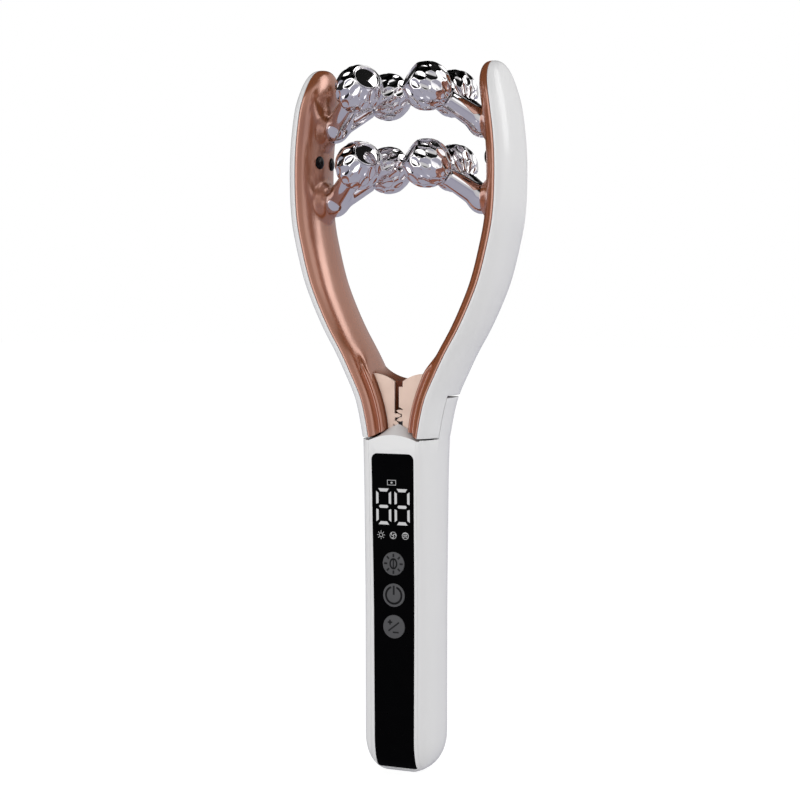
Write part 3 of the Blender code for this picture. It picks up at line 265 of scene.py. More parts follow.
# Studio
WHITE = (1.0, 1.0, 1.0)
FLOOR_REACH = 6.0
FLOOR_COLOUR = (0.85, 0.85, 0.85)
FLOOR_ROUGHNESS = 0.9
FLOOR_GLOW = 1.2
FLOOR_SHADOW_SHARE = 0.25
FLOOR_MIRROR_COLOUR = (0.265, 0.26, 0.36)
FILL_COLOUR = (0.99, 0.99, 1.0)
FILL_STRENGTH = 0.57
SKY_SHARES = [(0.0, (0.34, 0.335, 0.43)), (0.46, (0.38, 0.375, 0.46)), (0.52, (0.56, 0.56, 0.59)),
              (0.70, (0.64, 0.64, 0.64)), (0.77, (0.56, 0.56, 0.56)), (0.83, (0.012, 0.012, 0.012)),
              (1.0, (0.01, 0.01, 0.01))]
DARK_TOWARDS = (-0.90, 0.05, 0.43)
DARK_SHARES = [(0.0, 1.0), (0.20, 1.0), (0.38, 0.05), (1.0, 0.03)]
SENSOR_WIDTH = 36.0
LENS_LENGTH = 80.7
CAMERA_PLACE = (0.2415, -0.5484, 0.1552)
CAMERA_TARGET = (-0.00221, -0.00098, 0.1242)
# Lamps: place, height they point at, width, height and power
LAMPS = {
    "key_softbox": ((-0.40, -0.86, 0.36), 0.12, 0.8, 0.8, 3.2),
    "right_softbox": ((0.95, -0.10, 0.30), 0.12, 1.0, 1.0, 1.6),
    "side_softbox": ((0.62, 0.32, 0.62), 0.14, 0.40, 0.70, 2.0)}

# Light windows
WINDOW_RADIUS = 0.0022
WINDOW_SIDE_STEP = 0.0045
WINDOW_HEIGHT = 0.2038
WINDOW_PROUD = 0.0008
WINDOW_SEAT = 0.0016

SIDES = {"left": -1, "right": 1}
ENDS = {"front": -1, "back": 1}


# Small helpers

def lerp(low, high, share):
    return low + (high - low) * share


def spread(low, high, count):
    """Evenly spaced values from low to high, both ends among them."""
    return [lerp(low, high, step / count) for step in range(count + 1)]


def clamp(value, low=0.0, high=1.0):
    return min(max(value, low), high)


def smooth(share):
    """Smooth step from 0 to 1."""
    share = clamp(share)
    return share * share * (3 - 2 * share)


def rounded(share, fullness=2.0):
    """Height of a superellipse of radius 1 at a share of its half width."""
    return (1 - share ** fullness) ** (1 / fullness)


def bulged(angle, fullness):
    """Point of a superellipse of radius 1, across and along, at an angle of up to a quarter turn."""
    power = 2 / fullness
    return abs(cos(angle)) ** power, copysign(abs(sin(angle)) ** power, angle)


def spline_value(table, position):
    """Smooth value of a table of (position, value) rows, by Catmull-Rom tangents."""
    rows = sorted(table)
    if position <= rows[0][0]:
        return rows[0][1]
    if position >= rows[-1][0]:
        return rows[-1][1]
    index = max(i for i in range(len(rows) - 1) if rows[i][0] <= position)

    def slope(i):
        before, after = rows[max(i - 1, 0)], rows[min(i + 1, len(rows) - 1)]
        return (after[1] - before[1]) / (after[0] - before[0])

    (x0, y0), (x1, y1) = rows[index], rows[index + 1]
    span = x1 - x0
    t = (position - x0) / span
    return (y0 * (1 + 2 * t) * (1 - t) ** 2 + slope(index) * span * t * (1 - t) ** 2
            + y1 * t * t * (3 - 2 * t) + slope(index + 1) * span * t * t * (t - 1))


def arc(centre, radius, start, end, count=16, high_share=1.0):
    """Points along a circle or an upright ellipse, between two angles in degrees."""
    turns = [radians(angle) for angle in spread(start, end, count)]
    return [(centre[0] + radius * cos(turn), centre[1] + radius * high_share * sin(turn))
            for turn in turns]


def circle(centre, radius, count=16, high_share=1.0):
    return arc(centre, radius, 0.0, 360.0, count, high_share)[:-1]


def aimed(place, along, axis="Z"):
    """Matrix that puts something at a place with one of its axes along a direction."""
    return Matrix.Translation(place) @ along.to_track_quat(axis, "Y").to_matrix().to_4x4()


def add_object(name, data):
    item = bpy.data.objects.new(name, data)
    bpy.context.scene.collection.objects.link(item)
    return item


def loose_mesh(item):
    """The mesh of an object that is no longer needed."""
    mesh = item.data
    bpy.data.objects.remove(item, do_unlink=True)
    return mesh


@contextmanager
def editing(mesh):
    """A mesh as bmesh, written back at the end."""
    work = bmesh.new()
    work.from_mesh(mesh)
    yield work
    work.to_mesh(mesh)
    work.free()


def weld(mesh):
    """Merge points that coincide and drop the edges that this leaves loose."""
    with editing(mesh) as work:
        bmesh.ops.remove_doubles(work, verts=work.verts, dist=WELD)
        bmesh.ops.delete(work, geom=[edge for edge in work.edges if not edge.link_faces], context="EDGES")


def shade(item, angle=CREASE):
    """Outward faces and smooth shading up to a crease angle."""
    with editing(item.data) as work:
        bmesh.ops.recalc_face_normals(work, faces=work.faces)
    item.data.shade_smooth()
    item.data.set_sharp_from_angle(angle=radians(angle))
    return item


def mesh_from(name, points, faces, angle=CREASE):
    mesh = bpy.data.meshes.new(name)
    mesh.from_pydata([tuple(point) for point in points], [], faces)
    mesh.validate()
    return shade(add_object(name, mesh), angle)


def bands(rows, count, closed=False):
    """Quads between neighbouring rows of points, where each row is a closed loop."""
    faces = []
    for row in range(rows if closed else rows - 1):
        low, high = row * count, (row + 1) % rows * count
        for i in range(count):
            j = (i + 1) % count
            faces.append([low + i, low + j, high + j, high + i])
    return faces


def solid_faces(rows, count):
    """Bands with a face over the first row and one over the last."""
    last = list(range((rows - 1) * count, rows * count))
    return [list(reversed(range(count)))] + bands(rows, count) + [last]


def loft(name, rings, angle=CREASE):
    """Closed solid through rings that all have the same number of points."""
    points = [point for ring in rings for point in ring]
    return mesh_from(name, points, solid_faces(len(rings), len(rings[0])), angle)


def box(low, high):
    (left, front, foot), (right, back, top) = low, high
    corners = [(left, front), (right, front), (right, back), (left, back)]
    return loft("box", [[(x, y, height) for x, y in corners] for height in (foot, top)])


def turned(name, profile, segments, angle=CREASE):
    """Body of revolution about Z from a closed profile of (radius, height) points."""
    points = []
    for across, up in circle((0.0, 0.0), 1.0, segments):
        points += [(radius * across, radius * up, height) for radius, height in profile]
    item = mesh_from(name, points, bands(segments, len(profile), True), angle)
    weld(item.data)
    return shade(item, angle)


def evaluated_mesh(item):
    """Mesh of an object with its modifiers or curve settings applied."""
    bpy.context.view_layer.update()
    return bpy.data.meshes.new_from_object(item.evaluated_get(bpy.context.evaluated_depsgraph_get()))


def front_outline(name, outline, front, back, side=1):
    """Outline given in X and Z, mirrored where side is -1, filled and as thick as front to back."""
    curve = bpy.data.curves.new(name, "CURVE")
    curve.dimensions = "2D"
    curve.fill_mode = "BOTH"
    curve.extrude = (back - front) / 2
    spline = curve.splines.new("POLY")
    spline.points.add(len(outline) - 1)
    for point, (x, z) in zip(spline.points, outline):
        point.co = (side * x, z, 0.0, 1.0)
    spline.use_cyclic_u = True
    flat = add_object(name + "_outline", curve)
    mesh = evaluated_mesh(flat)
    bpy.data.objects.remove(flat, do_unlink=True)
    mesh.transform(Matrix.Translation((0.0, (front + back) / 2, 0.0)) @ Matrix.Rotation(pi / 2, 4, "X"))
    weld(mesh)
    mesh.materials.clear()
    return shade(add_object(name, mesh))


def apply_modifiers(item):
    mesh = evaluated_mesh(item)
    item.modifiers.clear()
    item.data = mesh
    return item


def boolean(item, tool, operation="DIFFERENCE"):
    """Apply a Boolean at once and remove its tool."""
    modifier = item.modifiers.new("cut", "BOOLEAN")
    modifier.operation = operation
    modifier.object = tool
    modifier.solver = "EXACT"
    apply_modifiers(item)
    bpy.data.objects.remove(tool, do_unlink=True)
    return item


def bevel_edges(item, width, chosen, segments=3):
    """Round the creases whose middle point is chosen."""
    with editing(item.data) as work:
        layers = work.edges.layers.float
        weight = layers.get("bevel_weight_edge") or layers.new("bevel_weight_edge")
        for edge in work.edges:
            sharp = len(edge.link_faces) == 2 and edge.calc_face_angle(0.0) > radians(CREASE)
            if sharp and chosen((edge.verts[0].co + edge.verts[1].co) / 2):
                edge[weight] = 1.0
    modifier = item.modifiers.new("rounded_edges", "BEVEL")
    modifier.width = width
    modifier.segments = segments
    modifier.limit_method = "WEIGHT"
    return apply_modifiers(item)


# Looks of the pieces

# Name, colour, roughness, metallic, fixed inputs, inputs that wander with their noise scale, and a bump
LOOKS = {
    "white_gloss": ("white_gloss_plastic", (0.80, 0.797, 0.795), 0.22, 0.0,
                    {"Coat Weight": 0.25, "Coat Roughness": 0.08},
                    [("Roughness", 0.20, 0.27, 90.0)], (0.04, 2 * GRAIN_HEIGHT, 700.0)),
    "rose_gold": ("rose_gold_plating", (0.41, 0.125, 0.046), 0.22, 0.35, {"IOR": 2.8},
                  [("Base Color", (0.402, 0.122, 0.044), (0.418, 0.128, 0.048), 60.0),
                   ("Roughness", 0.20, 0.25, 150.0)], (0.02, GRAIN_HEIGHT, 300.0)),
    "pale_gold": ("champagne_plate", (0.69, 0.52, 0.425), 0.4, 0.6, {},
                  [("Base Color", (0.672, 0.505, 0.412), (0.708, 0.535, 0.438), 120.0),
                   ("Roughness", 0.36, 0.44, 300.0)], (0.05, GRAIN_HEIGHT, 1500.0)),
    "chrome": ("polished_chrome", (0.87, 0.85, 0.86), 0.04, 1.0, {},
               [("Roughness", 0.03, 0.065, 250.0),
                ("Base Color", (0.85, 0.83, 0.85), (0.89, 0.87, 0.87), 130.0)], None),
    "black_gloss": ("black_gloss_panel", (0.0015, 0.0015, 0.0017), 0.1, 0.0, {"Specular IOR Level": 0.03},
                    [("Roughness", 0.08, 0.14, 80.0),
                     ("Base Color", (0.0006, 0.0006, 0.0007), (0.001, 0.001, 0.0011), 200.0)], None),
    "key_grey": ("grey_key", (0.078, 0.078, 0.081), 0.5, 0.0, {"Specular IOR Level": 0.3},
                 [("Roughness", 0.40, 0.50, 400.0)], (0.1, GRAIN_HEIGHT, 2500.0)),
    "key_symbol": ("key_symbol", (0.010, 0.010, 0.011), 0.5, 0.0, {"Specular IOR Level": 0.2},
                   [("Roughness", 0.45, 0.55, 600.0)], None),
    "lit": ("lit_segments", (0.02, 0.02, 0.02), 0.4, 0.0, {"Emission Strength": 0.55},
            [("Emission Color", (0.90, 0.90, 0.91), (0.97, 0.97, 0.98), 300.0)], None),
    "lit_dim": ("lit_icons", (0.02, 0.02, 0.02), 0.4, 0.0, {"Emission Strength": 0.42},
                [("Emission Color", (0.85, 0.85, 0.86), (0.95, 0.95, 0.96), 300.0)], None),
    "steel": ("plain_steel", (0.45, 0.45, 0.47), 0.32, 1.0, {},
              [("Roughness", 0.26, 0.38, 300.0)], (0.1, GRAIN_HEIGHT, 900.0)),
    "board_green": ("circuit_board_green", (0.02, 0.14, 0.06), 0.5, 0.0, {},
                    [("Base Color", (0.015, 0.12, 0.05), (0.03, 0.17, 0.07), 500.0)], None),
    "cell_wrap": ("cell_wrap_blue", (0.08, 0.16, 0.34), 0.35, 0.0, {},
                  [("Roughness", 0.3, 0.42, 200.0)], None),
    "lens_black": ("black_lens", (0.002, 0.002, 0.0025), 0.12, 0.0, {"Specular IOR Level": 0.15},
                   [("Roughness", 0.10, 0.16, 400.0)], None),
}


def set_inputs(node, inputs):
    """Set a node's inputs, each to a value or, where an output is given, by a link from it."""
    for name, value in inputs.items():
        if isinstance(value, bpy.types.NodeSocket):
            node.id_data.links.new(value, node.inputs[name])
        else:
            node.inputs[name].default_value = value


def add_node(tree, kind, inputs, **settings):
    node = tree.nodes.new("ShaderNode" + kind)
    for name, value in settings.items():
        setattr(node, name, value)
    set_inputs(node, inputs)
    return node


def material(name, colour, roughness, metallic, fixed):
    """New material with a Principled shader."""
    made = bpy.data.materials.new(name)
    made.use_nodes = True
    inputs = {"Base Color": (*colour, 1.0), "Roughness": roughness, "Metallic": metallic}
    set_inputs(made.node_tree.nodes["Principled BSDF"], {**inputs, **fixed})
    return made


def noise(tree, scale, detail, stretch):
    """Output of a noise texture that is fixed to the object."""
    place = add_node(tree, "TexCoord", {}).outputs["Object"]
    mapping = add_node(tree, "Mapping", {"Vector": place, "Scale": stretch})
    inputs = {"Vector": mapping.outputs["Vector"], "Scale": scale, "Detail": detail}
    return add_node(tree, "TexNoise", inputs).outputs["Fac"]


def ramp(tree, rows, value, interpolation="LINEAR"):
    """Output of a colour ramp, driven by a value, through rows of a position and a colour or grey."""
    node = add_node(tree, "ValToRGB", {"Fac": value})
    node.color_ramp.interpolation = interpolation
    elements = node.color_ramp.elements
    elements[0].position, elements[1].position = rows[0][0], rows[-1][0]
    for position, _ in rows[1:-1]:
        elements.new(position)
    for element, (_, colour) in zip(elements, rows):
        element.color = (*colour, 1.0) if isinstance(colour, tuple) else (colour, colour, colour, 1.0)
    return node.outputs["Color"]


def make_materials():
    """The materials of the table, each with inputs that wander a little."""
    made = {}
    for look, (name, colour, roughness, metallic, fixed, varied, grain) in LOOKS.items():
        made[look] = material(name, colour, roughness, metallic, fixed)
        tree = made[look].node_tree
        stretch = BRUSHED_STRETCH if look == "steel" else (1.0, 1.0, 1.0)
        linked = {}
        for socket, least, most, scale in varied:
            rows = [(NOISE_LOW_SHARE, least), (NOISE_HIGH_SHARE, most)]
            linked[socket] = ramp(tree, rows, noise(tree, scale, COLOUR_DETAIL, stretch))
        if grain:
            strength, distance, scale = grain
            inputs = {"Strength": strength, "Distance": distance}
            inputs["Height"] = noise(tree, scale, BUMP_DETAIL, stretch)
            linked["Normal"] = add_node(tree, "Bump", inputs).outputs["Normal"]
        set_inputs(tree.nodes["Principled BSDF"], linked)
    return made


MATERIALS = make_materials()


def finish_piece(item, look, body, replaced=()):
    """Give a piece its material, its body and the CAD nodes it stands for."""
    item.data.materials.clear()
    item.data.materials.append(MATERIALS[look])
    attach(item, body)
    if replaced:
        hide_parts(*([replaced] if isinstance(replaced, str) else replaced))


# Arm shapes

def parting_reach(height):
    """Distance from the centre plane to the line where an arm's cover meets its frame."""
    share = (height - MOUTH_HEIGHT) / (TOTAL_HEIGHT - MOUTH_HEIGHT)
    return ARM_REACH * spline_value(ARM_OUTLINE_SHARES, share)


def tip_share(height):
    return clamp((height - TOTAL_HEIGHT + TIP_LENGTH) / TIP_LENGTH, 0.0, TIP_END_SHARE)


def tip_bulge(bulge, height):
    """Bulge of an arm's side at a height, which closes at the tip."""
    return bulge * rounded(tip_share(height), TIP_WIDTH_FULLNESS)


def tip_depth(height):
    return ARM_HALF_DEPTH * rounded(tip_share(height), TIP_DEPTH_FULLNESS)


def crotch_heights(turn):
    """Heights through the rounding of the saddle between the arms, a turn of so many degrees apart."""
    angles = range(90 - turn, -1, -turn)
    return [CROTCH_TOP - CROTCH_BLEND * sin(radians(angle)) for angle in angles]


def arm_heights(foot):
    """Section heights of an arm part from its foot to the tip, closer where the shape turns."""
    shaft_top = TOTAL_HEIGHT - TIP_LENGTH
    heights = spread(foot, CROTCH_HEIGHT, 10) + crotch_heights(5) + spread(CROTCH_TOP, shaft_top, 96)
    heights += [shaft_top + TIP_LENGTH * sin(radians(angle)) for angle in range(4, 90, 4)]
    return sorted(set(heights)) + [TOTAL_HEIGHT]


def half_ring(side, height, start, bulge, fullness):
    """D-shaped section with small rounded corners where it meets the straight parting side."""
    depth = tip_depth(height)
    corner = min(EDGE_ROUND, EDGE_LIMIT_SHARE * abs(bulge), EDGE_LIMIT_SHARE * depth)
    sign = copysign(1.0, bulge)
    first = acos((corner / abs(bulge)) ** (fullness / 2))
    full = depth * bulged(first, fullness)[1]
    quarter = arc((corner, full - corner), corner, 180.0, 90.0, CORNER_POINTS - 1)
    outline = [(across, -along) for across, along in quarter]
    for angle in spread(-first, first, 44)[1:-1]:
        across, along = bulged(angle, fullness)
        outline.append((abs(bulge) * across, depth * along))
    outline += reversed(quarter)
    return [(side * (start + sign * across), along, height) for across, along in outline]


def arm_cover(word, side):
    """White outer half of an arm."""
    rings = []
    for height in arm_heights(MOUTH_HEIGHT + SEAM_GAP):
        start = parting_reach(height) + PARTING_GAP / 2
        rings.append(half_ring(side, height, start, tip_bulge(COVER_BULGE, height), COVER_FULLNESS))
    cover = loft(word + "_arm_cover_moulding", rings)
    boolean(cover, box((-ARM_REACH, -SPLIT_DEPTH - SPLIT_GAP / 2, MOUTH_HEIGHT - OVERRUN),
                       (ARM_REACH, BEHIND, LEDGE_HEIGHT + LEDGE_GAP)))
    bevel_edges(cover, EDGE_ROUND, lambda place: place.z < LEDGE_HEIGHT + OVERRUN, 2)
    finish_piece(shade(cover), "white_gloss", word + "_arm", word + "_arm_cover")


def plate_edge_at(height):
    """Distance from the centre plane to the outer edge of a root plate."""
    share = clamp((height - PLATE_FOOT_HEIGHT) / (PLATE_TOP_HEIGHT - PLATE_FOOT_HEIGHT))
    return lerp(PLATE_FOOT_REACH, PLATE_TOP_REACH, share ** PLATE_EDGE_BOW)


def plate_edge(grow):
    heights = spread(PLATE_FOOT_HEIGHT, PLATE_TOP_HEIGHT, 24)
    return [(plate_edge_at(height) + grow, height) for height in heights]


def ridges(point, side, reach, width, into):
    """Turn the front of a rail's half ellipse into two ridges with a valley between them."""
    x, y, height = point
    if into <= 0 or y >= 0:
        return point
    depth = tip_depth(height)
    inward = (reach - side * x) / width
    angle = degrees(atan2(inward, -y / depth))
    size = hypot(inward, y / depth)
    across = lerp(inward, size * spline_value(RIDGE_INSET_SHARES, angle), into)
    along = lerp(y, -depth * size * spline_value(RIDGE_DEPTH_SHARES, angle), into)
    return side * (reach - width * across), along, height


def boss(point, side):
    """Draw the inner face out into a flared boss round each fork foot."""
    x, y, z = point
    inward = -side * x
    for ball_height in BALL_HEIGHTS.values():
        flare = max(hypot(y, z - ball_height + FORK_DROP) - BOSS_FACE_RADIUS, 0.0)
        face = -(FORK_ROOT_SIDE + BOSS_FACE_STEP) - flare * flare / BOSS_FLARE_LENGTH
        mix = max(BOSS_BLEND - abs(inward - face), 0.0) / BOSS_BLEND
        inward = max(inward, face) + mix * mix * BOSS_BLEND / 4
    return -side * inward, y, z


def root_block(side):
    """What fills an arm's root between its rail and the slot, with the hollow saddle on top."""
    back = ARM_HALF_DEPTH - SEAT_GAP
    rings = []
    for height in spread(MOUTH_HEIGHT, CROTCH_HEIGHT, 8) + crotch_heights(3):
        drawn = 1 - rounded(clamp((CROTCH_TOP - height) / CROTCH_BLEND))
        reach = parting_reach(height)
        ring = []
        for turn in spread(0.0, pi / 2, 40):
            y = lerp(-ROOT_FRONT_DEPTH, back, sin(turn))
            rail = reach - FRAME_BULGE * rounded(abs(y) / ARM_HALF_DEPTH) + PARTING_GAP
            corner = ROOT_CORNER * (1 - rounded(clamp((y - back + ROOT_CORNER) / ROOT_CORNER)))
            ring.append((side * lerp(rail, SLOT_HALF_WIDTH + corner, drawn), y, height))
        outer = side * (reach - SEAT_GAP)
        rings.append(ring + [(outer, back, height), (outer, -ROOT_FRONT_DEPTH, height)])
    return loft("root_block", rings, FRAME_CREASE)


def arm_frame(word, side):
    """Rose gold inner half of an arm: a rail with flared bosses, and the root that carries the plate."""
    rings = []
    for height in arm_heights(MOUTH_HEIGHT - SEAM_GAP):
        into = smooth((RIDGE_TOP - height) / (RIDGE_TOP - PLATE_TOP_HEIGHT))
        reach = parting_reach(height) - PARTING_GAP / 2
        beside = parting_reach(min(height, PLATE_TOP_HEIGHT)) - PARTING_GAP / 2
        width = lerp(tip_bulge(FRAME_BULGE, height), beside - plate_edge_at(height) - SEAT_GAP, into)
        ring = half_ring(side, height, reach, -width, FRAME_FULLNESS)
        ring = [ridges(point, side, reach, width, into) for point in ring]
        inner = [boss(point, side) for point in ring[CORNER_POINTS:-CORNER_POINTS]]
        rings.append(ring[:CORNER_POINTS] + inner + ring[-CORNER_POINTS:])
    rail = loft(word + "_arm_frame_moulding", rings, FRAME_CREASE)
    boolean(rail, root_block(side), "UNION")
    boolean(rail, plate_pocket(side))
    boolean(rail, shelf_cutter(SEAM_GAP, False, PEAK_SWING_ROOM))
    hinge_room(rail, side)
    finish_piece(shade(rail, FRAME_CREASE), "rose_gold", word + "_arm", word + "_arm_frame")


def plate_pocket(side):
    """Room for the plate in the front of the arm root, open at the slot, the foot and the top."""
    edge = plate_edge(SEAT_GAP)
    below, above = PLATE_FOOT_HEIGHT - OVERRUN, PLATE_TOP_HEIGHT + OVERRUN
    outline = [(-SLOT_HALF_WIDTH, below), (edge[0][0], below)] + edge
    outline += [(edge[-1][0], above), (-SLOT_HALF_WIDTH, above)]
    return front_outline("plate_pocket", outline, IN_FRONT, -PLATE_FRONT + PLATE_THICKNESS + SEAT_GAP, side)


def hinge_room(item, side):
    """Cut the arm root free for the bracket, the spring and the pin."""
    below = MOUTH_HEIGHT - OVERRUN
    boolean(item, box((-ARM_REACH, -PLATE_FRONT - SEAT_GAP / 2, below - OVERRUN),
                      (ARM_REACH, BEHIND, FRAME_FOOT_HEIGHT)))
    boolean(item, box((-ARM_REACH, BARREL_BACK, below), (ARM_REACH, BEHIND, LEDGE_HEIGHT + LEDGE_GAP)))
    outline = [(-GEAR_PITCH_RADIUS, below), (ARM_REACH, below), (ARM_REACH, PIVOT_HEIGHT)]
    outline += arc((GEAR_PITCH_RADIUS, PIVOT_HEIGHT), SPRING_POCKET_RADIUS, 0.0, 180.0, 24)
    outline.append((-GEAR_PITCH_RADIUS, PIVOT_HEIGHT))
    boolean(item, front_outline("spring_room", outline, -PLATE_FRONT + PLATE_THICKNESS, BARREL_FRONT, side))


# Front cover's peak and the handle

def shelf_height(side_place, depth_share):
    """Height of the front cover's peak, from its front shelf line to its back edge."""
    share = min(abs(side_place) / HANDLE_FLAT_HALF, 1.0)
    shelf = PEAK_SHELF_HEIGHT - PEAK_SHELF_FALL * share ** 2
    ridge = PEAK_HEIGHT - PEAK_FALL * (share + share ** 2) / 2
    return lerp(shelf, max(ridge, shelf - SEAM_GAP), depth_share)


def shelf_cutter(lift, above, side_lift=0.0):
    """Solid above or below the peak's sloping surface, moved up by lift and further up towards its sides."""
    edge = -PLATE_FRONT - SEAT_GAP + (0.0 if above else SEAM_GAP)
    limit = PEAK_HEIGHT + OVERRUN if above else PEAK_BLOCK_FOOT - OVERRUN
    rings = []
    for x in [-ARM_REACH] + spread(-HANDLE_FLAT_HALF, HANDLE_FLAT_HALF, 40) + [ARM_REACH]:
        rise = lift + side_lift * min(abs(x) / HANDLE_FLAT_HALF, 1.0)
        ring = [(x, IN_FRONT, shelf_height(x, 0.0) + rise)]
        for share in spread(0.0, 1.0, 6):
            ring.append((x, lerp(-ARM_HALF_DEPTH, edge, share), shelf_height(x, share) + rise))
        rings.append(ring + [(x, edge, limit), (x, IN_FRONT, limit)])
    return loft("shelf_cutter", rings)


def handle_depths(height):
    """Front and rear depth of the handle at a height, before its rounded end."""
    share = height / MOUTH_HEIGHT
    top = [(LEDGE_HEIGHT / MOUTH_HEIGHT, 1.0)]
    tables = (FRONT_DEPTH_SHARES + top, REAR_DEPTH_SHARES + top)
    return [ARM_HALF_DEPTH * spline_value(table, share) for table in tables]


def handle_ring(height, inset=0.0):
    """Closed section of the handle: flat front and back with bulged sides."""
    front, rear = handle_depths(height)
    middle, depth = (rear - front) / 2, (rear + front) / 2
    flat = HANDLE_FLAT_HALF if height <= MOUTH_HEIGHT else parting_reach(height)
    bulge = lerp(HANDLE_BULGE, COVER_BULGE, clamp(height / MOUTH_HEIGHT) ** MOUTH_SWELL_POWER)
    drawn = 1 - rounded(clamp((END_ROUND_HEIGHT - height) / END_ROUND_HEIGHT))
    wide = 1 - (END_ROUND_SIDE * drawn + inset) / (flat + bulge)
    deep = 1 - (END_ROUND_DEPTH * drawn + inset) / depth
    right = []
    for angle in spread(-pi / 2, pi / 2, 36):
        across, along = bulged(angle, COVER_FULLNESS)
        right.append(((flat + bulge * across) * wide, middle + depth * along * deep, height))
    return right + [(-x, y, z) for x, y, z in reversed(right)]


def handle_heights(foot, top):
    """Section heights of the handle between two heights, closer at its rounded end."""
    heights = [END_ROUND_HEIGHT * (1 - sin(radians(angle))) for angle in range(88, 0, -8)]
    heights += spread(END_ROUND_HEIGHT, MOUTH_HEIGHT, 20) + spread(MOUTH_HEIGHT, LEDGE_HEIGHT, 8)[1:]
    return [foot] + [height for height in heights if foot < height < top] + [top]


def handle_solid(name, shift=0.0):
    """The whole handle, or its shape moved back and up by shift."""
    rings = [handle_ring(height) for height in handle_heights(0.0, LEDGE_HEIGHT)]
    return loft(name, [[(x, y + shift, z + shift) for x, y, z in ring] for ring in rings])


def rear_shell():
    """White U-shaped housing with the tongue that rises behind the arm roots."""
    shell = handle_solid("handle_shell_moulding")
    heights = handle_heights(HANDLE_WALL, MOUTH_HEIGHT + SEAM_GAP)
    boolean(shell, loft("cavity", [handle_ring(height, HANDLE_WALL) for height in heights]))
    tongue = []
    for height in spread(MOUTH_HEIGHT - SEAT_GAP, LEDGE_HEIGHT + OVERRUN, 12):
        half = parting_reach(height) + SWING_GAP
        tongue.append([(-half, IN_FRONT, height), (half, IN_FRONT, height),
                       (half, TONGUE_WALL_BACK, height), (-half, TONGUE_WALL_BACK, height)])
    boolean(shell, loft("tongue_room", tongue))
    boolean(shell, box((-ARM_REACH, IN_FRONT, MOUTH_HEIGHT),
                       (ARM_REACH, -SPLIT_DEPTH + SPLIT_GAP / 2, LEDGE_HEIGHT + OVERRUN)))
    half = HANDLE_FLAT_HALF + SEAM_LINE / 2
    boolean(shell, box((-half, IN_FRONT, -OVERRUN),
                       (half, -COVER_PLATE_FOOT + SEAM_LINE, MOUTH_HEIGHT + OVERRUN)))
    boolean(shell, port_cutter())
    bevel_edges(shell, EDGE_ROUND, outside, 2)
    finish_piece(shade(shell), "white_gloss", "handle", "handle_rear_shell")


def outside(place):
    """True where a point lies on the handle's outer surface and not on its front face."""
    ring = handle_ring(clamp(place.z, 0.0, LEDGE_HEIGHT), HANDLE_WALL / 2)
    wide = max(x for x, y, z in ring)
    depths = [y for x, y, z in ring]
    beyond = abs(place.x) > wide or not min(depths) <= place.y <= max(depths) or place.z < HANDLE_WALL / 2
    return beyond and place.y > -ARM_HALF_DEPTH


def port_cutter():
    """Hole in the handle's end for the charging socket."""
    centre = -BOARD_FRONT + BOARD_THICKNESS + SEAT_GAP + SOCKET_DEPTH / 2
    radius = SOCKET_DEPTH / 2 + SEAT_GAP
    straight = (SOCKET_WIDTH - SOCKET_DEPTH) / 2
    ring = arc((straight, centre), radius, -90.0, 90.0) + arc((-straight, centre), radius, 90.0, 270.0)
    return loft("port", [[(x, y, height) for x, y in ring] for height in (-OVERRUN, HANDLE_WALL + OVERRUN)])


def panel_outline(grow):
    """Front view of the display panel: straight sides, rounded top corners, open foot."""
    corner = PANEL_CORNER + grow
    middle = (PANEL_HALF_WIDTH_TOP + grow - corner, PANEL_TOP + grow - corner)
    points = [(PANEL_HALF_WIDTH_FOOT + grow, -OVERRUN)] + arc(middle, corner, 0.0, 90.0)
    return points + [(-x, z) for x, z in reversed(points)]


def skin_cutter(grow, thickness, foot_depth):
    """What lies in the panel's outline and in front of a skin of the given thickness."""
    tool = front_outline("skin", panel_outline(grow), IN_FRONT, -foot_depth)
    return boolean(tool, handle_solid("skin_back", thickness))


def cut_key_holes(item, gap):
    for height in KEY_HEIGHTS.values():
        boolean(item, front_outline("key_hole", circle((0.0, height), KEY_RADIUS + gap, 64), IN_FRONT, 0.0))


def on_rim(place):
    """True where a point of the front cover lies on the edge round the panel."""
    reach = lerp(PANEL_HALF_WIDTH_FOOT, PANEL_HALF_WIDTH_TOP, clamp(place.z / PANEL_TOP)) + PANEL_GAP
    front = handle_depths(clamp(place.z, END_ROUND_HEIGHT, MOUTH_HEIGHT))[0]
    beside = abs(abs(place.x) - reach) < PANEL_CORNER and place.z > END_ROUND_HEIGHT
    return beside and place.y < -front + PANEL_GAP


def front_cover():
    """White front plate round the panel, with the peak between the arm roots."""
    cover = handle_solid("handle_front_plate")
    half = HANDLE_FLAT_HALF - SEAM_LINE / 2
    keep = box((-half, IN_FRONT, -OVERRUN), (half, -PLATE_FRONT - SEAT_GAP, PEAK_HEIGHT + SEAM_GAP))
    foot = box((-half, -ARM_HALF_DEPTH, -OVERRUN), (half, -COVER_PLATE_FOOT, END_ROUND_HEIGHT))
    boolean(cover, boolean(keep, foot, "UNION"), "INTERSECT")
    back = handle_solid("back", COVER_PLATE_THICKNESS)
    below = box((-ARM_REACH, -2 * ARM_HALF_DEPTH, -OVERRUN), (ARM_REACH, 2 * ARM_HALF_DEPTH, PEAK_BLOCK_FOOT))
    boolean(cover, boolean(back, below, "INTERSECT"))
    boolean(cover, shelf_cutter(0.0, True))
    boolean(cover, skin_cutter(PANEL_GAP, PANEL_THICKNESS + PANEL_GAP, PANEL_FOOT_DEPTH - PANEL_GAP))
    cut_key_holes(cover, SEAT_GAP)
    bevel_edges(cover, RIM_ROUND, on_rim)
    finish_piece(shade(cover), "white_gloss", "handle", "handle_front_cover")


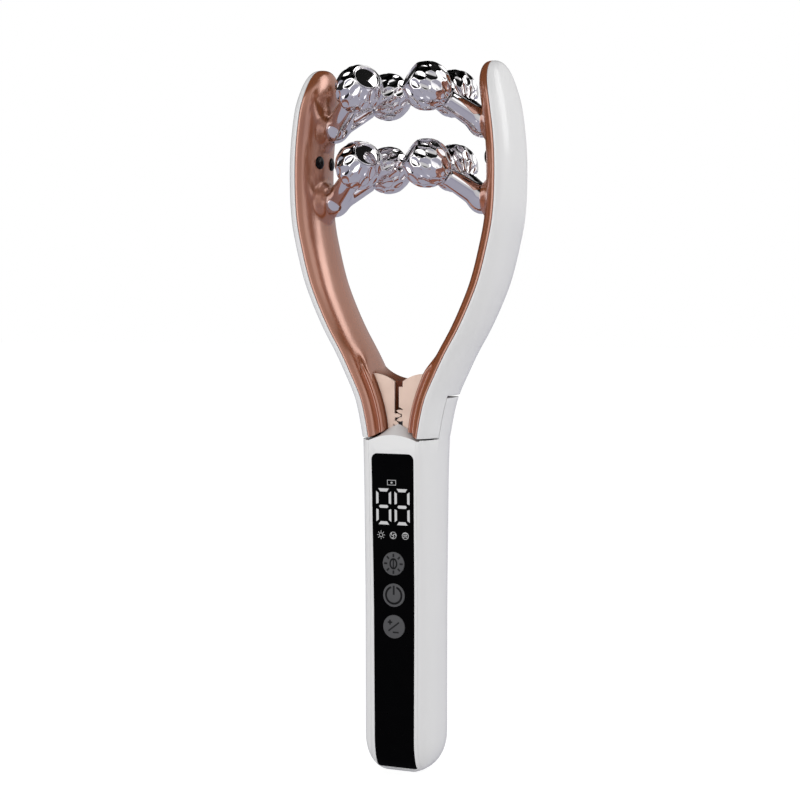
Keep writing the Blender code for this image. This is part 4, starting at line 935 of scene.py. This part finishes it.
def display_panel():
    """Black glossy panel that runs down the front and round the bottom edge."""
    panel = handle_solid("display_glass")
    boolean(panel, skin_cutter(0.0, PANEL_THICKNESS, PANEL_FOOT_DEPTH), "INTERSECT")
    cut_key_holes(panel, KEY_GAP)
    finish_piece(shade(panel), "black_gloss", "handle", "display_panel")


# Geared plates

def involute(base, radius):
    angle = acos(min(base / radius, 1.0))
    return tan(angle) - angle


def gear_flank(phase):
    """Outline of two teeth as angles and radii about the pivot, from the upper angle to the lower one."""
    module = 2 * GEAR_PITCH_RADIUS / GEAR_TEETH
    pitch = 2 * pi / GEAR_TEETH
    base = GEAR_PITCH_RADIUS * cos(PRESSURE_ANGLE)
    half = pitch / 4 - GEAR_BACKLASH / GEAR_PITCH_RADIUS / 2 + involute(base, GEAR_PITCH_RADIUS)
    points = []
    for middle in (phase * pitch, (phase - 1) * pitch):
        upper = []
        for radius in spread(GEAR_PITCH_RADIUS - module - GEAR_BACKLASH, GEAR_PITCH_RADIUS + module, 8):
            upper.append((middle + half - involute(base, max(radius, base)), radius))
        points += upper + [(2 * middle - angle, radius) for angle, radius in reversed(upper)]
    return points


def plate_outline(side):
    """Outline of a root plate as on the right, where only the right one has the stop bar."""
    edge = plate_edge(0.0)
    for share in spread(0.0, 1.0, 19)[1:]:
        saddle = lerp(PLATE_TOP_HEIGHT, CROTCH_HEIGHT, share ** 2)
        edge.append((lerp(PLATE_TOP_REACH, SLOT_HALF_WIDTH, share), saddle))
    if side > 0:
        edge.append((SLOT_HALF_WIDTH, STOP_BAR_TOP))
        edge += [(STOP_BAR_REACH, STOP_BAR_TOP), (STOP_BAR_REACH, STOP_BAR_FOOT)]
    flank = gear_flank(0.0 if side < 0 else 0.5)
    edge.append((SLOT_HALF_WIDTH, PIVOT_HEIGHT + GEAR_PITCH_RADIUS * sin(flank[0][0])))
    for angle, radius in flank:
        edge.append((GEAR_PITCH_RADIUS - radius * cos(angle), PIVOT_HEIGHT + radius * sin(angle)))
    return edge + [(SLOT_HALF_WIDTH, PLATE_FOOT_HEIGHT)]


def root_plate(word, side):
    """Champagne plate on the front of an arm root, with the meshing gear teeth."""
    plate = front_outline(word + "_toothed_plate", plate_outline(side), -PLATE_FRONT,
                          -PLATE_FRONT + PLATE_LOOK_THICKNESS, side)
    finish_piece(plate, "pale_gold", word + "_arm", word + "_gear_plate")


# Rollers

def round_cone(points, end, radius_start, radius_end):
    """Distance from points to a cone with round ends, from the origin to an end."""
    square = end @ end
    drop = radius_start - radius_end
    slant = square - drop * drop
    y = points @ end
    z = y - square
    x2 = ((points * square - np.outer(y, end)) ** 2).sum(1)
    y2, z2 = y * y * square, z * z * square
    k = copysign(1.0, drop) * drop * drop * x2
    beyond = np.sqrt(x2 + z2) / square - radius_end
    before = np.sqrt(x2 + y2) / square - radius_start
    beside = (np.sqrt(x2 * slant / square) + y * drop) / square - radius_start
    inside = np.where(np.sign(y) * slant * y2 < k, before, beside)
    return np.where(np.sign(z) * slant * z2 > k, beyond, inside)


def melt(first, second, blend):
    """Smooth union of two distance fields."""
    mix = np.maximum(blend - np.abs(first - second), 0.0) / blend
    return np.minimum(first, second) - mix * mix * blend / 4


def branch_tips():
    """Ends of the two branches of a right-hand fork whose root is the origin."""
    tips = []
    for end in ENDS.values():
        centre = np.array([BALL_SIDE - FORK_ROOT_SIDE, end * BALL_DEPTH, FORK_DROP])
        tips.append(centre * (1 - (NECK_PLANE + NECK_GAP) / np.linalg.norm(centre)))
    return tips


def fork_field(points):
    """Distance to a right-hand fork: a foot, a knuckle and two branches."""
    foot = round_cone(points, np.array([FOOT_LENGTH, 0.0, 0.0]), FOOT_RADIUS, FOOT_RADIUS)
    foot = np.maximum(foot, points[:, 0] - FOOT_LENGTH)
    body = melt(foot, np.linalg.norm(points, axis=1) - KNUCKLE_RADIUS, FOOT_MELT)
    branches = []
    for tip in branch_tips():
        along = tip / np.linalg.norm(tip)
        branch = round_cone(points, tip + along * BRANCH_TIP_RADIUS, BRANCH_ROOT_RADIUS, BRANCH_TIP_RADIUS)
        branches.append(-melt(-branch, -((points - tip) @ along), TIP_BLEND))
    return melt(body, melt(*branches, CROTCH_MELT), FOOT_MELT)


def fork_mesh():
    """Mesh of a right-hand fork about its root, wrapped on its distance field."""
    item = add_object("fork_shape", bpy.data.meshes.new("fork_shape"))
    bars = [(Vector((FOOT_LENGTH, 0.0, 0.0)), FOOT_RADIUS, FOOT_RADIUS)]
    bars += [(Vector(tip), BRANCH_ROOT_RADIUS, BRANCH_TIP_RADIUS) for tip in branch_tips()]
    with editing(item.data) as work:
        for tip, thick, thin in bars:
            bmesh.ops.create_cone(work, cap_ends=True, segments=48, radius1=thick, radius2=thin,
                                  depth=tip.length, matrix=aimed(tip / 2, tip))
        bmesh.ops.create_icosphere(work, subdivisions=4, radius=KNUCKLE_RADIUS)
    modifier = item.modifiers.new("wrap", "REMESH")
    modifier.mode = "VOXEL"
    modifier.voxel_size = FORK_VOXEL
    mesh = loose_mesh(apply_modifiers(item))
    points = np.empty(len(mesh.vertices) * 3)
    mesh.vertices.foreach_get("co", points)
    points = points.reshape(-1, 3)
    step = FORK_VOXEL / 50
    for _ in range(6):
        slope = np.empty_like(points)
        for axis, shift in enumerate(np.eye(3) * step):
            slope[:, axis] = (fork_field(points + shift) - fork_field(points - shift)) / (2 * step)
        size = np.maximum((slope ** 2).sum(1), LEAST_SLOPE)
        points -= slope * np.clip(fork_field(points) / size, -FORK_VOXEL, FORK_VOXEL)[:, None]
    mesh.vertices.foreach_set("co", points.ravel())
    mesh.update()
    mesh.shade_smooth()
    return mesh


def dimple_depth(polar, turn):
    """How deep the ball's surface is pressed in, at an angle from the cap and one round the axle."""
    deepest = 0.0
    pitch = 2 * pi / DIMPLES_PER_ROW
    for row in range(DIMPLE_ROWS):
        middle = DIMPLE_FIRST_ANGLE + DIMPLE_ROW_ANGLE * row
        along = BALL_RADIUS * (polar - middle) / DIMPLE_HALF_LENGTH
        offset = (turn / pitch + 0.5 * (row % 2)) % 1.0
        offset = min(offset, 1 - offset) * pitch
        narrow = DIMPLE_HALF_WIDTH * min(1.0, DIMPLE_NARROW_SHARE * sin(middle))
        across = BALL_RADIUS * sin(polar) * offset / narrow
        inside = 1 - along * along - across * across
        if inside > 0:
            deepest = max(deepest, DIMPLE_DEPTH * inside ** DIMPLE_POWER)
    return deepest


def ball_mesh():
    """Dimpled ball about its axle, the cap end up."""
    columns = DIMPLES_PER_ROW * 18
    angles = spread(asin(CAP_RADIUS / BALL_RADIUS), pi - asin(NECK_RADIUS / BALL_RADIUS), 72)
    bore = AXLE_RADIUS + BORE_CLEARANCE
    inner = CAP_RADIUS - CAP_RIM
    seat = CAP_PLANE - CAP_SEAT_DEPTH
    mouth = [(NECK_RADIUS - CAP_RIM, -NECK_PLANE), (bore, -NECK_PLANE), (bore, seat), (inner, seat),
             (inner, CAP_PLANE - CAP_RIM * LIP_DROP_SHARE),
             (CAP_RADIUS - CAP_RIM * LIP_INSET_SHARE, CAP_PLANE + CAP_RIM * LIP_RISE_SHARE)]
    points = []
    for turn in spread(0.0, 2 * pi, columns)[:-1]:
        profile = []
        for angle in angles:
            radius = BALL_RADIUS - BALL_TRIM - dimple_depth(angle, turn)
            profile.append((radius * sin(angle), radius * cos(angle)))
        points += [(flat * cos(turn), flat * sin(turn), height) for flat, height in profile + mouth]
    faces = bands(columns, len(angles) + len(mouth), True)
    return loose_mesh(mesh_from("ball_shape", points, faces, 50.0))


def cap_mesh():
    """Mirror cap: a rolled rim round a low dome."""
    edge = CAP_RADIUS - CAP_RIM - CAP_GAP
    profile = [(0.0, CAP_PLANE - CAP_THICKNESS), (edge, CAP_PLANE - CAP_THICKNESS)]
    profile += arc((edge - CAP_ROLL, CAP_PLANE), CAP_ROLL, 0.0, 180.0, 8)
    for share in spread(1.0, 0.0, 12):
        rise = CAP_DOME * (1 - share ** 2) - CAP_ROLL
        profile.append(((edge - 2 * CAP_ROLL) * share, CAP_PLANE + rise))
    return loose_mesh(turned("cap_shape", profile, 72, 60.0))


def rollers():
    """Chrome forks, each with two dimpled balls and their caps."""
    fork, ball, cap = fork_mesh(), ball_mesh(), cap_mesh()
    for word, side in SIDES.items():
        for level, ball_height in BALL_HEIGHTS.items():
            root = Vector((side * FORK_ROOT_SIDE, 0.0, ball_height - FORK_DROP))
            name = word + "_" + level
            piece = add_object(name + "_chrome_fork", fork.copy())
            piece.data.transform(Matrix.Translation(root) @ Matrix.Diagonal((side, 1.0, 1.0, 1.0)))
            if side < 0:
                piece.data.flip_normals()
            finish_piece(piece, "chrome", word + "_arm", name + "_fork")
            for end_word, end in ENDS.items():
                centre = Vector((side * BALL_SIDE, end * BALL_DEPTH, ball_height))
                label = name + "_" + end_word
                for kind, shape in (("ball", ball), ("cap", cap)):
                    piece = add_object(label + "_chrome_" + kind, shape.copy())
                    piece.data.transform(aimed(centre, centre - root))
                    finish_piece(piece, "chrome", label + "_roller", label + "_" + kind)


def light_windows():
    """Black domed windows in the inner faces of the arms, between the forks."""
    dome = arc((0.0, 0.0), WINDOW_RADIUS, 0.0, 90.0, 12, WINDOW_PROUD / WINDOW_RADIUS)
    profile = [(0.0, -WINDOW_SEAT), (WINDOW_RADIUS, -WINDOW_SEAT)] + dome
    bulge = tip_bulge(FRAME_BULGE, WINDOW_HEIGHT)
    share = WINDOW_SIDE_STEP / ARM_HALF_DEPTH
    inner = parting_reach(WINDOW_HEIGHT) - SEAT_GAP / 2 - bulge * rounded(share, FRAME_FULLNESS)
    tilt = bulge / ARM_HALF_DEPTH * share / rounded(share, FRAME_FULLNESS)
    for word, side in SIDES.items():
        for end_word, end in ENDS.items():
            lens = turned(word + "_" + end_word + "_light_lens", profile, 48)
            place = Vector((side * inner, end * WINDOW_SIDE_STEP, WINDOW_HEIGHT))
            lens.data.transform(aimed(place, Vector((-side, end * tilt, 0.0))))
            finish_piece(lens, "lens_black", word + "_arm", word + "_" + end_word + "_light_window")


# Keys, symbols and display

def flat_shapes(name, shapes, look, body="handle", front=None):
    """Thin plates from outlines in X and Z, at a depth or else on the handle's front face."""
    points, faces = [], []
    for outline in shapes:
        first = len(points)
        for lift in (GLYPH_RAISE, -GLYPH_RAISE):
            points += [(x, (front or -handle_depths(z)[0]) - lift, z) for x, z in outline]
        faces += [[first + index for index in face] for face in solid_faces(2, len(outline))]
    finish_piece(mesh_from(name, points, faces), look, body, ())


def stroke(points, width, closed=False):
    """Quads along a polyline of the given width."""
    shapes = []
    for (x0, z0), (x1, z1) in zip(points, points[1:] + points[:1] if closed else points[1:]):
        half = width / 2 / hypot(x1 - x0, z1 - z0)
        across, up = (x1 - x0) * half, (z1 - z0) * half
        past, lift = across * STROKE_END_SHARE, up * STROKE_END_SHARE
        shapes.append([(x0 - past - up, z0 - lift + across), (x1 + past - up, z1 + lift + across),
                       (x1 + past + up, z1 + lift - across), (x0 - past + up, z0 - lift - across)])
    return shapes


def spokes(centre, inner, outer, width):
    """Eight short strokes that point away from a centre."""
    shapes = []
    for ends in zip(circle(centre, inner, 8), circle(centre, outer, 8)):
        shapes += stroke(ends, width)
    return shapes


def digit(middle):
    """The seven lit bars of a digit at a distance from the centre plane."""
    shapes = []
    for bar in DIGIT_BAR_SHARES:
        for side, way in bar["copies"]:
            outline = []
            for x, z, inset, drop in bar["corners"]:
                across = side * (x * DIGIT_HALF_WIDTH + inset * DIGIT_BAR)
                up = way * (z * DIGIT_HALF_HEIGHT + drop * DIGIT_BAR)
                outline.append((middle + across, DIGIT_HEIGHT + up))
            shapes.append(outline)
    return shapes


def icons():
    """Outlines of the battery sign above the digits and of the three icons under them."""
    radius, line, bold, shares = ICON_RADIUS, ICON_LINE, ICON_LINE * BOLD_SHARE, ICON_SHARES
    battery = (BATTERY_ICON_SIDE, BATTERY_ICON_HEIGHT)
    sun, swirl, face = [(step * ICON_STEP, ICON_HEIGHT) for step in (-1, 0, 1)]
    corners = [(battery[0] + x * BATTERY_ICON_HALF_WIDTH, battery[1] + z * BATTERY_ICON_HALF_HEIGHT)
               for x, z in ((-1, -1), (1, -1), (1, 1), (-1, 1))]
    made = {"battery": stroke(corners, line, True),
            "sun": stroke(circle(sun, radius * shares["sun"]), line, True),
            "swirl": stroke(circle(swirl, radius * shares["ring"]), line, True),
            "face": stroke(circle(face, radius * shares["ring"]), line, True)}
    made["battery"].append(circle(battery, BATTERY_ICON_HALF_HEIGHT / 2, 16, shares["dot_height"]))
    made["sun"] += spokes(sun, radius * shares["ray_start"], radius * shares["ray_end"], line)
    for start, hub in zip((0.0, 120.0, 240.0), circle(swirl, radius * shares["hub"], 3)):
        made["swirl"] += stroke(arc(hub, radius * shares["lobe"], start, start + 180.0, 8), bold)
    for step in (-1, 0, 1):
        middle = (face[0], face[1] + step * radius * shares["bow_step"])
        made["face"] += stroke(arc(middle, radius / 2, 0.0, 180.0, 8, shares["bow_height"]), bold)
    return made


def display_glyphs():
    """Digits and icons that glow through the black panel."""
    for word, side in SIDES.items():
        flat_shapes(word + "_digit", digit(side * DIGIT_STEP), "lit")
    for name, shapes in icons().items():
        flat_shapes(name + "_icon", shapes, "lit_dim")


def key_symbol(name, height):
    """Outlines of a key's sign: an oval with rays, a power sign, or plus and minus."""
    size, shares = SYMBOL_SIZE, SYMBOL_SHARES
    line = SYMBOL_LINE * (BOLD_SHARE if name == "power" else 1.0)
    shapes = []
    for x0, z0, x1, z1 in SYMBOL_BAR_SHARES[name]:
        shapes += stroke([(size * x0, height + size * z0), (size * x1, height + size * z1)], line)
    if name == "mode":
        oval = circle((0.0, height), size * shares["oval"], 24, shares["oval_height"])
        shapes += stroke(oval, line, True)
        ends = (size * shares["ray_start"], size * shares["ray_end"])
        shapes += spokes((0.0, height), *ends, line * shares["ray"])
    if name == "power":
        shapes += stroke(arc((0.0, height), size, *POWER_SIGN_ANGLES, 32), line)
    return shapes


def keys():
    """Round grey keys with their dark symbols."""
    for name, height in KEY_HEIGHTS.items():
        face = -handle_depths(height)[0]
        front = face - KEY_PROUD
        flange = face + COVER_PLATE_THICKNESS + SEAT_GAP
        flange_back = flange + KEY_FLANGE_THICKNESS
        stem_end = -BOARD_FRONT - SWITCH_HEIGHT - KEY_TRAVEL - 3 * SEAT_GAP
        profile = [(0.0, front)] + arc((KEY_RADIUS - KEY_EDGE, front + KEY_EDGE), KEY_EDGE, -90.0, 0.0, 5)
        profile += [(KEY_RADIUS, flange), (KEY_FLANGE_RADIUS, flange), (KEY_FLANGE_RADIUS, flange_back),
                    (KEY_STEM_RADIUS, flange_back), (KEY_STEM_RADIUS, stem_end), (0.0, stem_end)]
        key = turned(name + "_key", profile, 72)
        key.data.transform(Matrix.Translation((0.0, 0.0, height)) @ Matrix.Rotation(-pi / 2, 4, "X"))
        finish_piece(key, "key_grey", name + "_button", "button_" + name)
        shapes = key_symbol(name, height)
        flat_shapes(name + "_key_symbol", shapes, "key_symbol", name + "_button", front)


def dress_inside():
    """Better finishes for the CAD nodes that stay: pins, springs, bracket, axles and electronics."""
    for name, node in frame["nodes"].items():
        for word, look in INSIDE_LOOKS.items():
            if word in name:
                for slot in node.material_slots:
                    slot.material = MATERIALS[look]


# Studio

def seen_in_metal(tree, rays):
    """1 for the rays that metal and glass send out, else 0."""
    kinds = {0: rays["Is Glossy Ray"], 1: rays["Is Transmission Ray"]}
    return add_node(tree, "Math", kinds, operation="MAXIMUM").outputs[0]


def mixed(tree, share, first, second):
    """Output that goes from one shader to another by a share."""
    return add_node(tree, "MixShader", {0: share, 1: first, 2: second}).outputs[0]


def floor():
    """Pale floor that is white to the camera, keeps a faint shadow and shows dimmer in metal."""
    mesh = bpy.data.meshes.new("studio_floor")
    corners = [(FLOOR_REACH * x, FLOOR_REACH * y, 0.0) for x, y in ((-1, -1), (1, -1), (1, 1), (-1, 1))]
    mesh.from_pydata(corners, [], [(0, 1, 2, 3)])
    item = add_object("studio_floor", mesh)
    made = material("studio_floor", FLOOR_COLOUR, FLOOR_ROUGHNESS, 0.0, {})
    tree = made.node_tree
    rays = add_node(tree, "LightPath", {}).outputs
    surface = tree.nodes["Principled BSDF"].outputs[0]
    for seen, colour, strength in ((seen_in_metal(tree, rays), FLOOR_MIRROR_COLOUR, 1.0),
                                   (rays["Is Camera Ray"], WHITE, FLOOR_GLOW)):
        share = add_node(tree, "Math", {0: seen, 1: 1 - FLOOR_SHADOW_SHARE}, operation="MULTIPLY").outputs[0]
        glow = add_node(tree, "Emission", {"Color": (*colour, 1.0), "Strength": strength})
        surface = mixed(tree, share, surface, glow.outputs[0])
    set_inputs(tree.nodes["Material Output"], {"Surface": surface})
    mesh.materials.append(made)


def background(tree, colour, strength=1.0):
    return add_node(tree, "Background", {"Color": colour, "Strength": strength}).outputs[0]


def world():
    """White to the camera; light and dark bands by direction for reflections; a soft fill for the rest."""
    made = bpy.context.scene.world or bpy.data.worlds.new("studio")
    bpy.context.scene.world = made
    made.use_nodes = True
    tree = made.node_tree
    tree.nodes.clear()
    place = add_node(tree, "TexCoord", {}).outputs["Generated"]
    height = add_node(tree, "SeparateXYZ", {0: place}).outputs["Z"]
    lift = add_node(tree, "MapRange", {"From Min": -1.0, "Value": height})
    sky = ramp(tree, SKY_SHARES, lift.outputs[0], "EASE")
    towards = add_node(tree, "VectorMath", {0: place, 1: DARK_TOWARDS}, operation="DOT_PRODUCT")
    dark = ramp(tree, DARK_SHARES, towards.outputs["Value"])
    shine = add_node(tree, "VectorMath", {0: sky, 1: dark}, operation="MULTIPLY").outputs[0]
    rays = add_node(tree, "LightPath", {}).outputs
    fill = background(tree, (*FILL_COLOUR, 1.0), FILL_STRENGTH)
    soft = mixed(tree, seen_in_metal(tree, rays), fill, background(tree, shine))
    seen = mixed(tree, rays["Is Camera Ray"], soft, background(tree, (*WHITE, 1.0)))
    add_node(tree, "OutputWorld", {"Surface": seen})


def point_at(name, data, place, target):
    """Add a lamp or a camera at a place and turn it towards a target."""
    item = add_object(name, data)
    item.matrix_world = aimed(Vector(place), Vector(target) - Vector(place), "-Z")
    return item


def lamps():
    for name, (place, height, wide, high, power) in LAMPS.items():
        data = bpy.data.lights.new(name, "AREA")
        data.shape = "RECTANGLE"
        data.size, data.size_y = wide, high
        data.energy = power
        point_at(name, data, place, (0.0, 0.0, height))


def camera():
    data = bpy.data.cameras.new("camera")
    data.sensor_width = SENSOR_WIDTH
    data.lens = LENS_LENGTH
    bpy.context.scene.camera = point_at("camera", data, CAMERA_PLACE, CAMERA_TARGET)


rear_shell()
front_cover()
display_panel()
display_glyphs()
keys()
for side_word, side_sign in SIDES.items():
    arm_cover(side_word, side_sign)
    arm_frame(side_word, side_sign)
    root_plate(side_word, side_sign)
light_windows()
rollers()
dress_inside()
floor()
world()
lamps()
camera()

bpy.context.scene.view_settings.view_transform = "Standard"
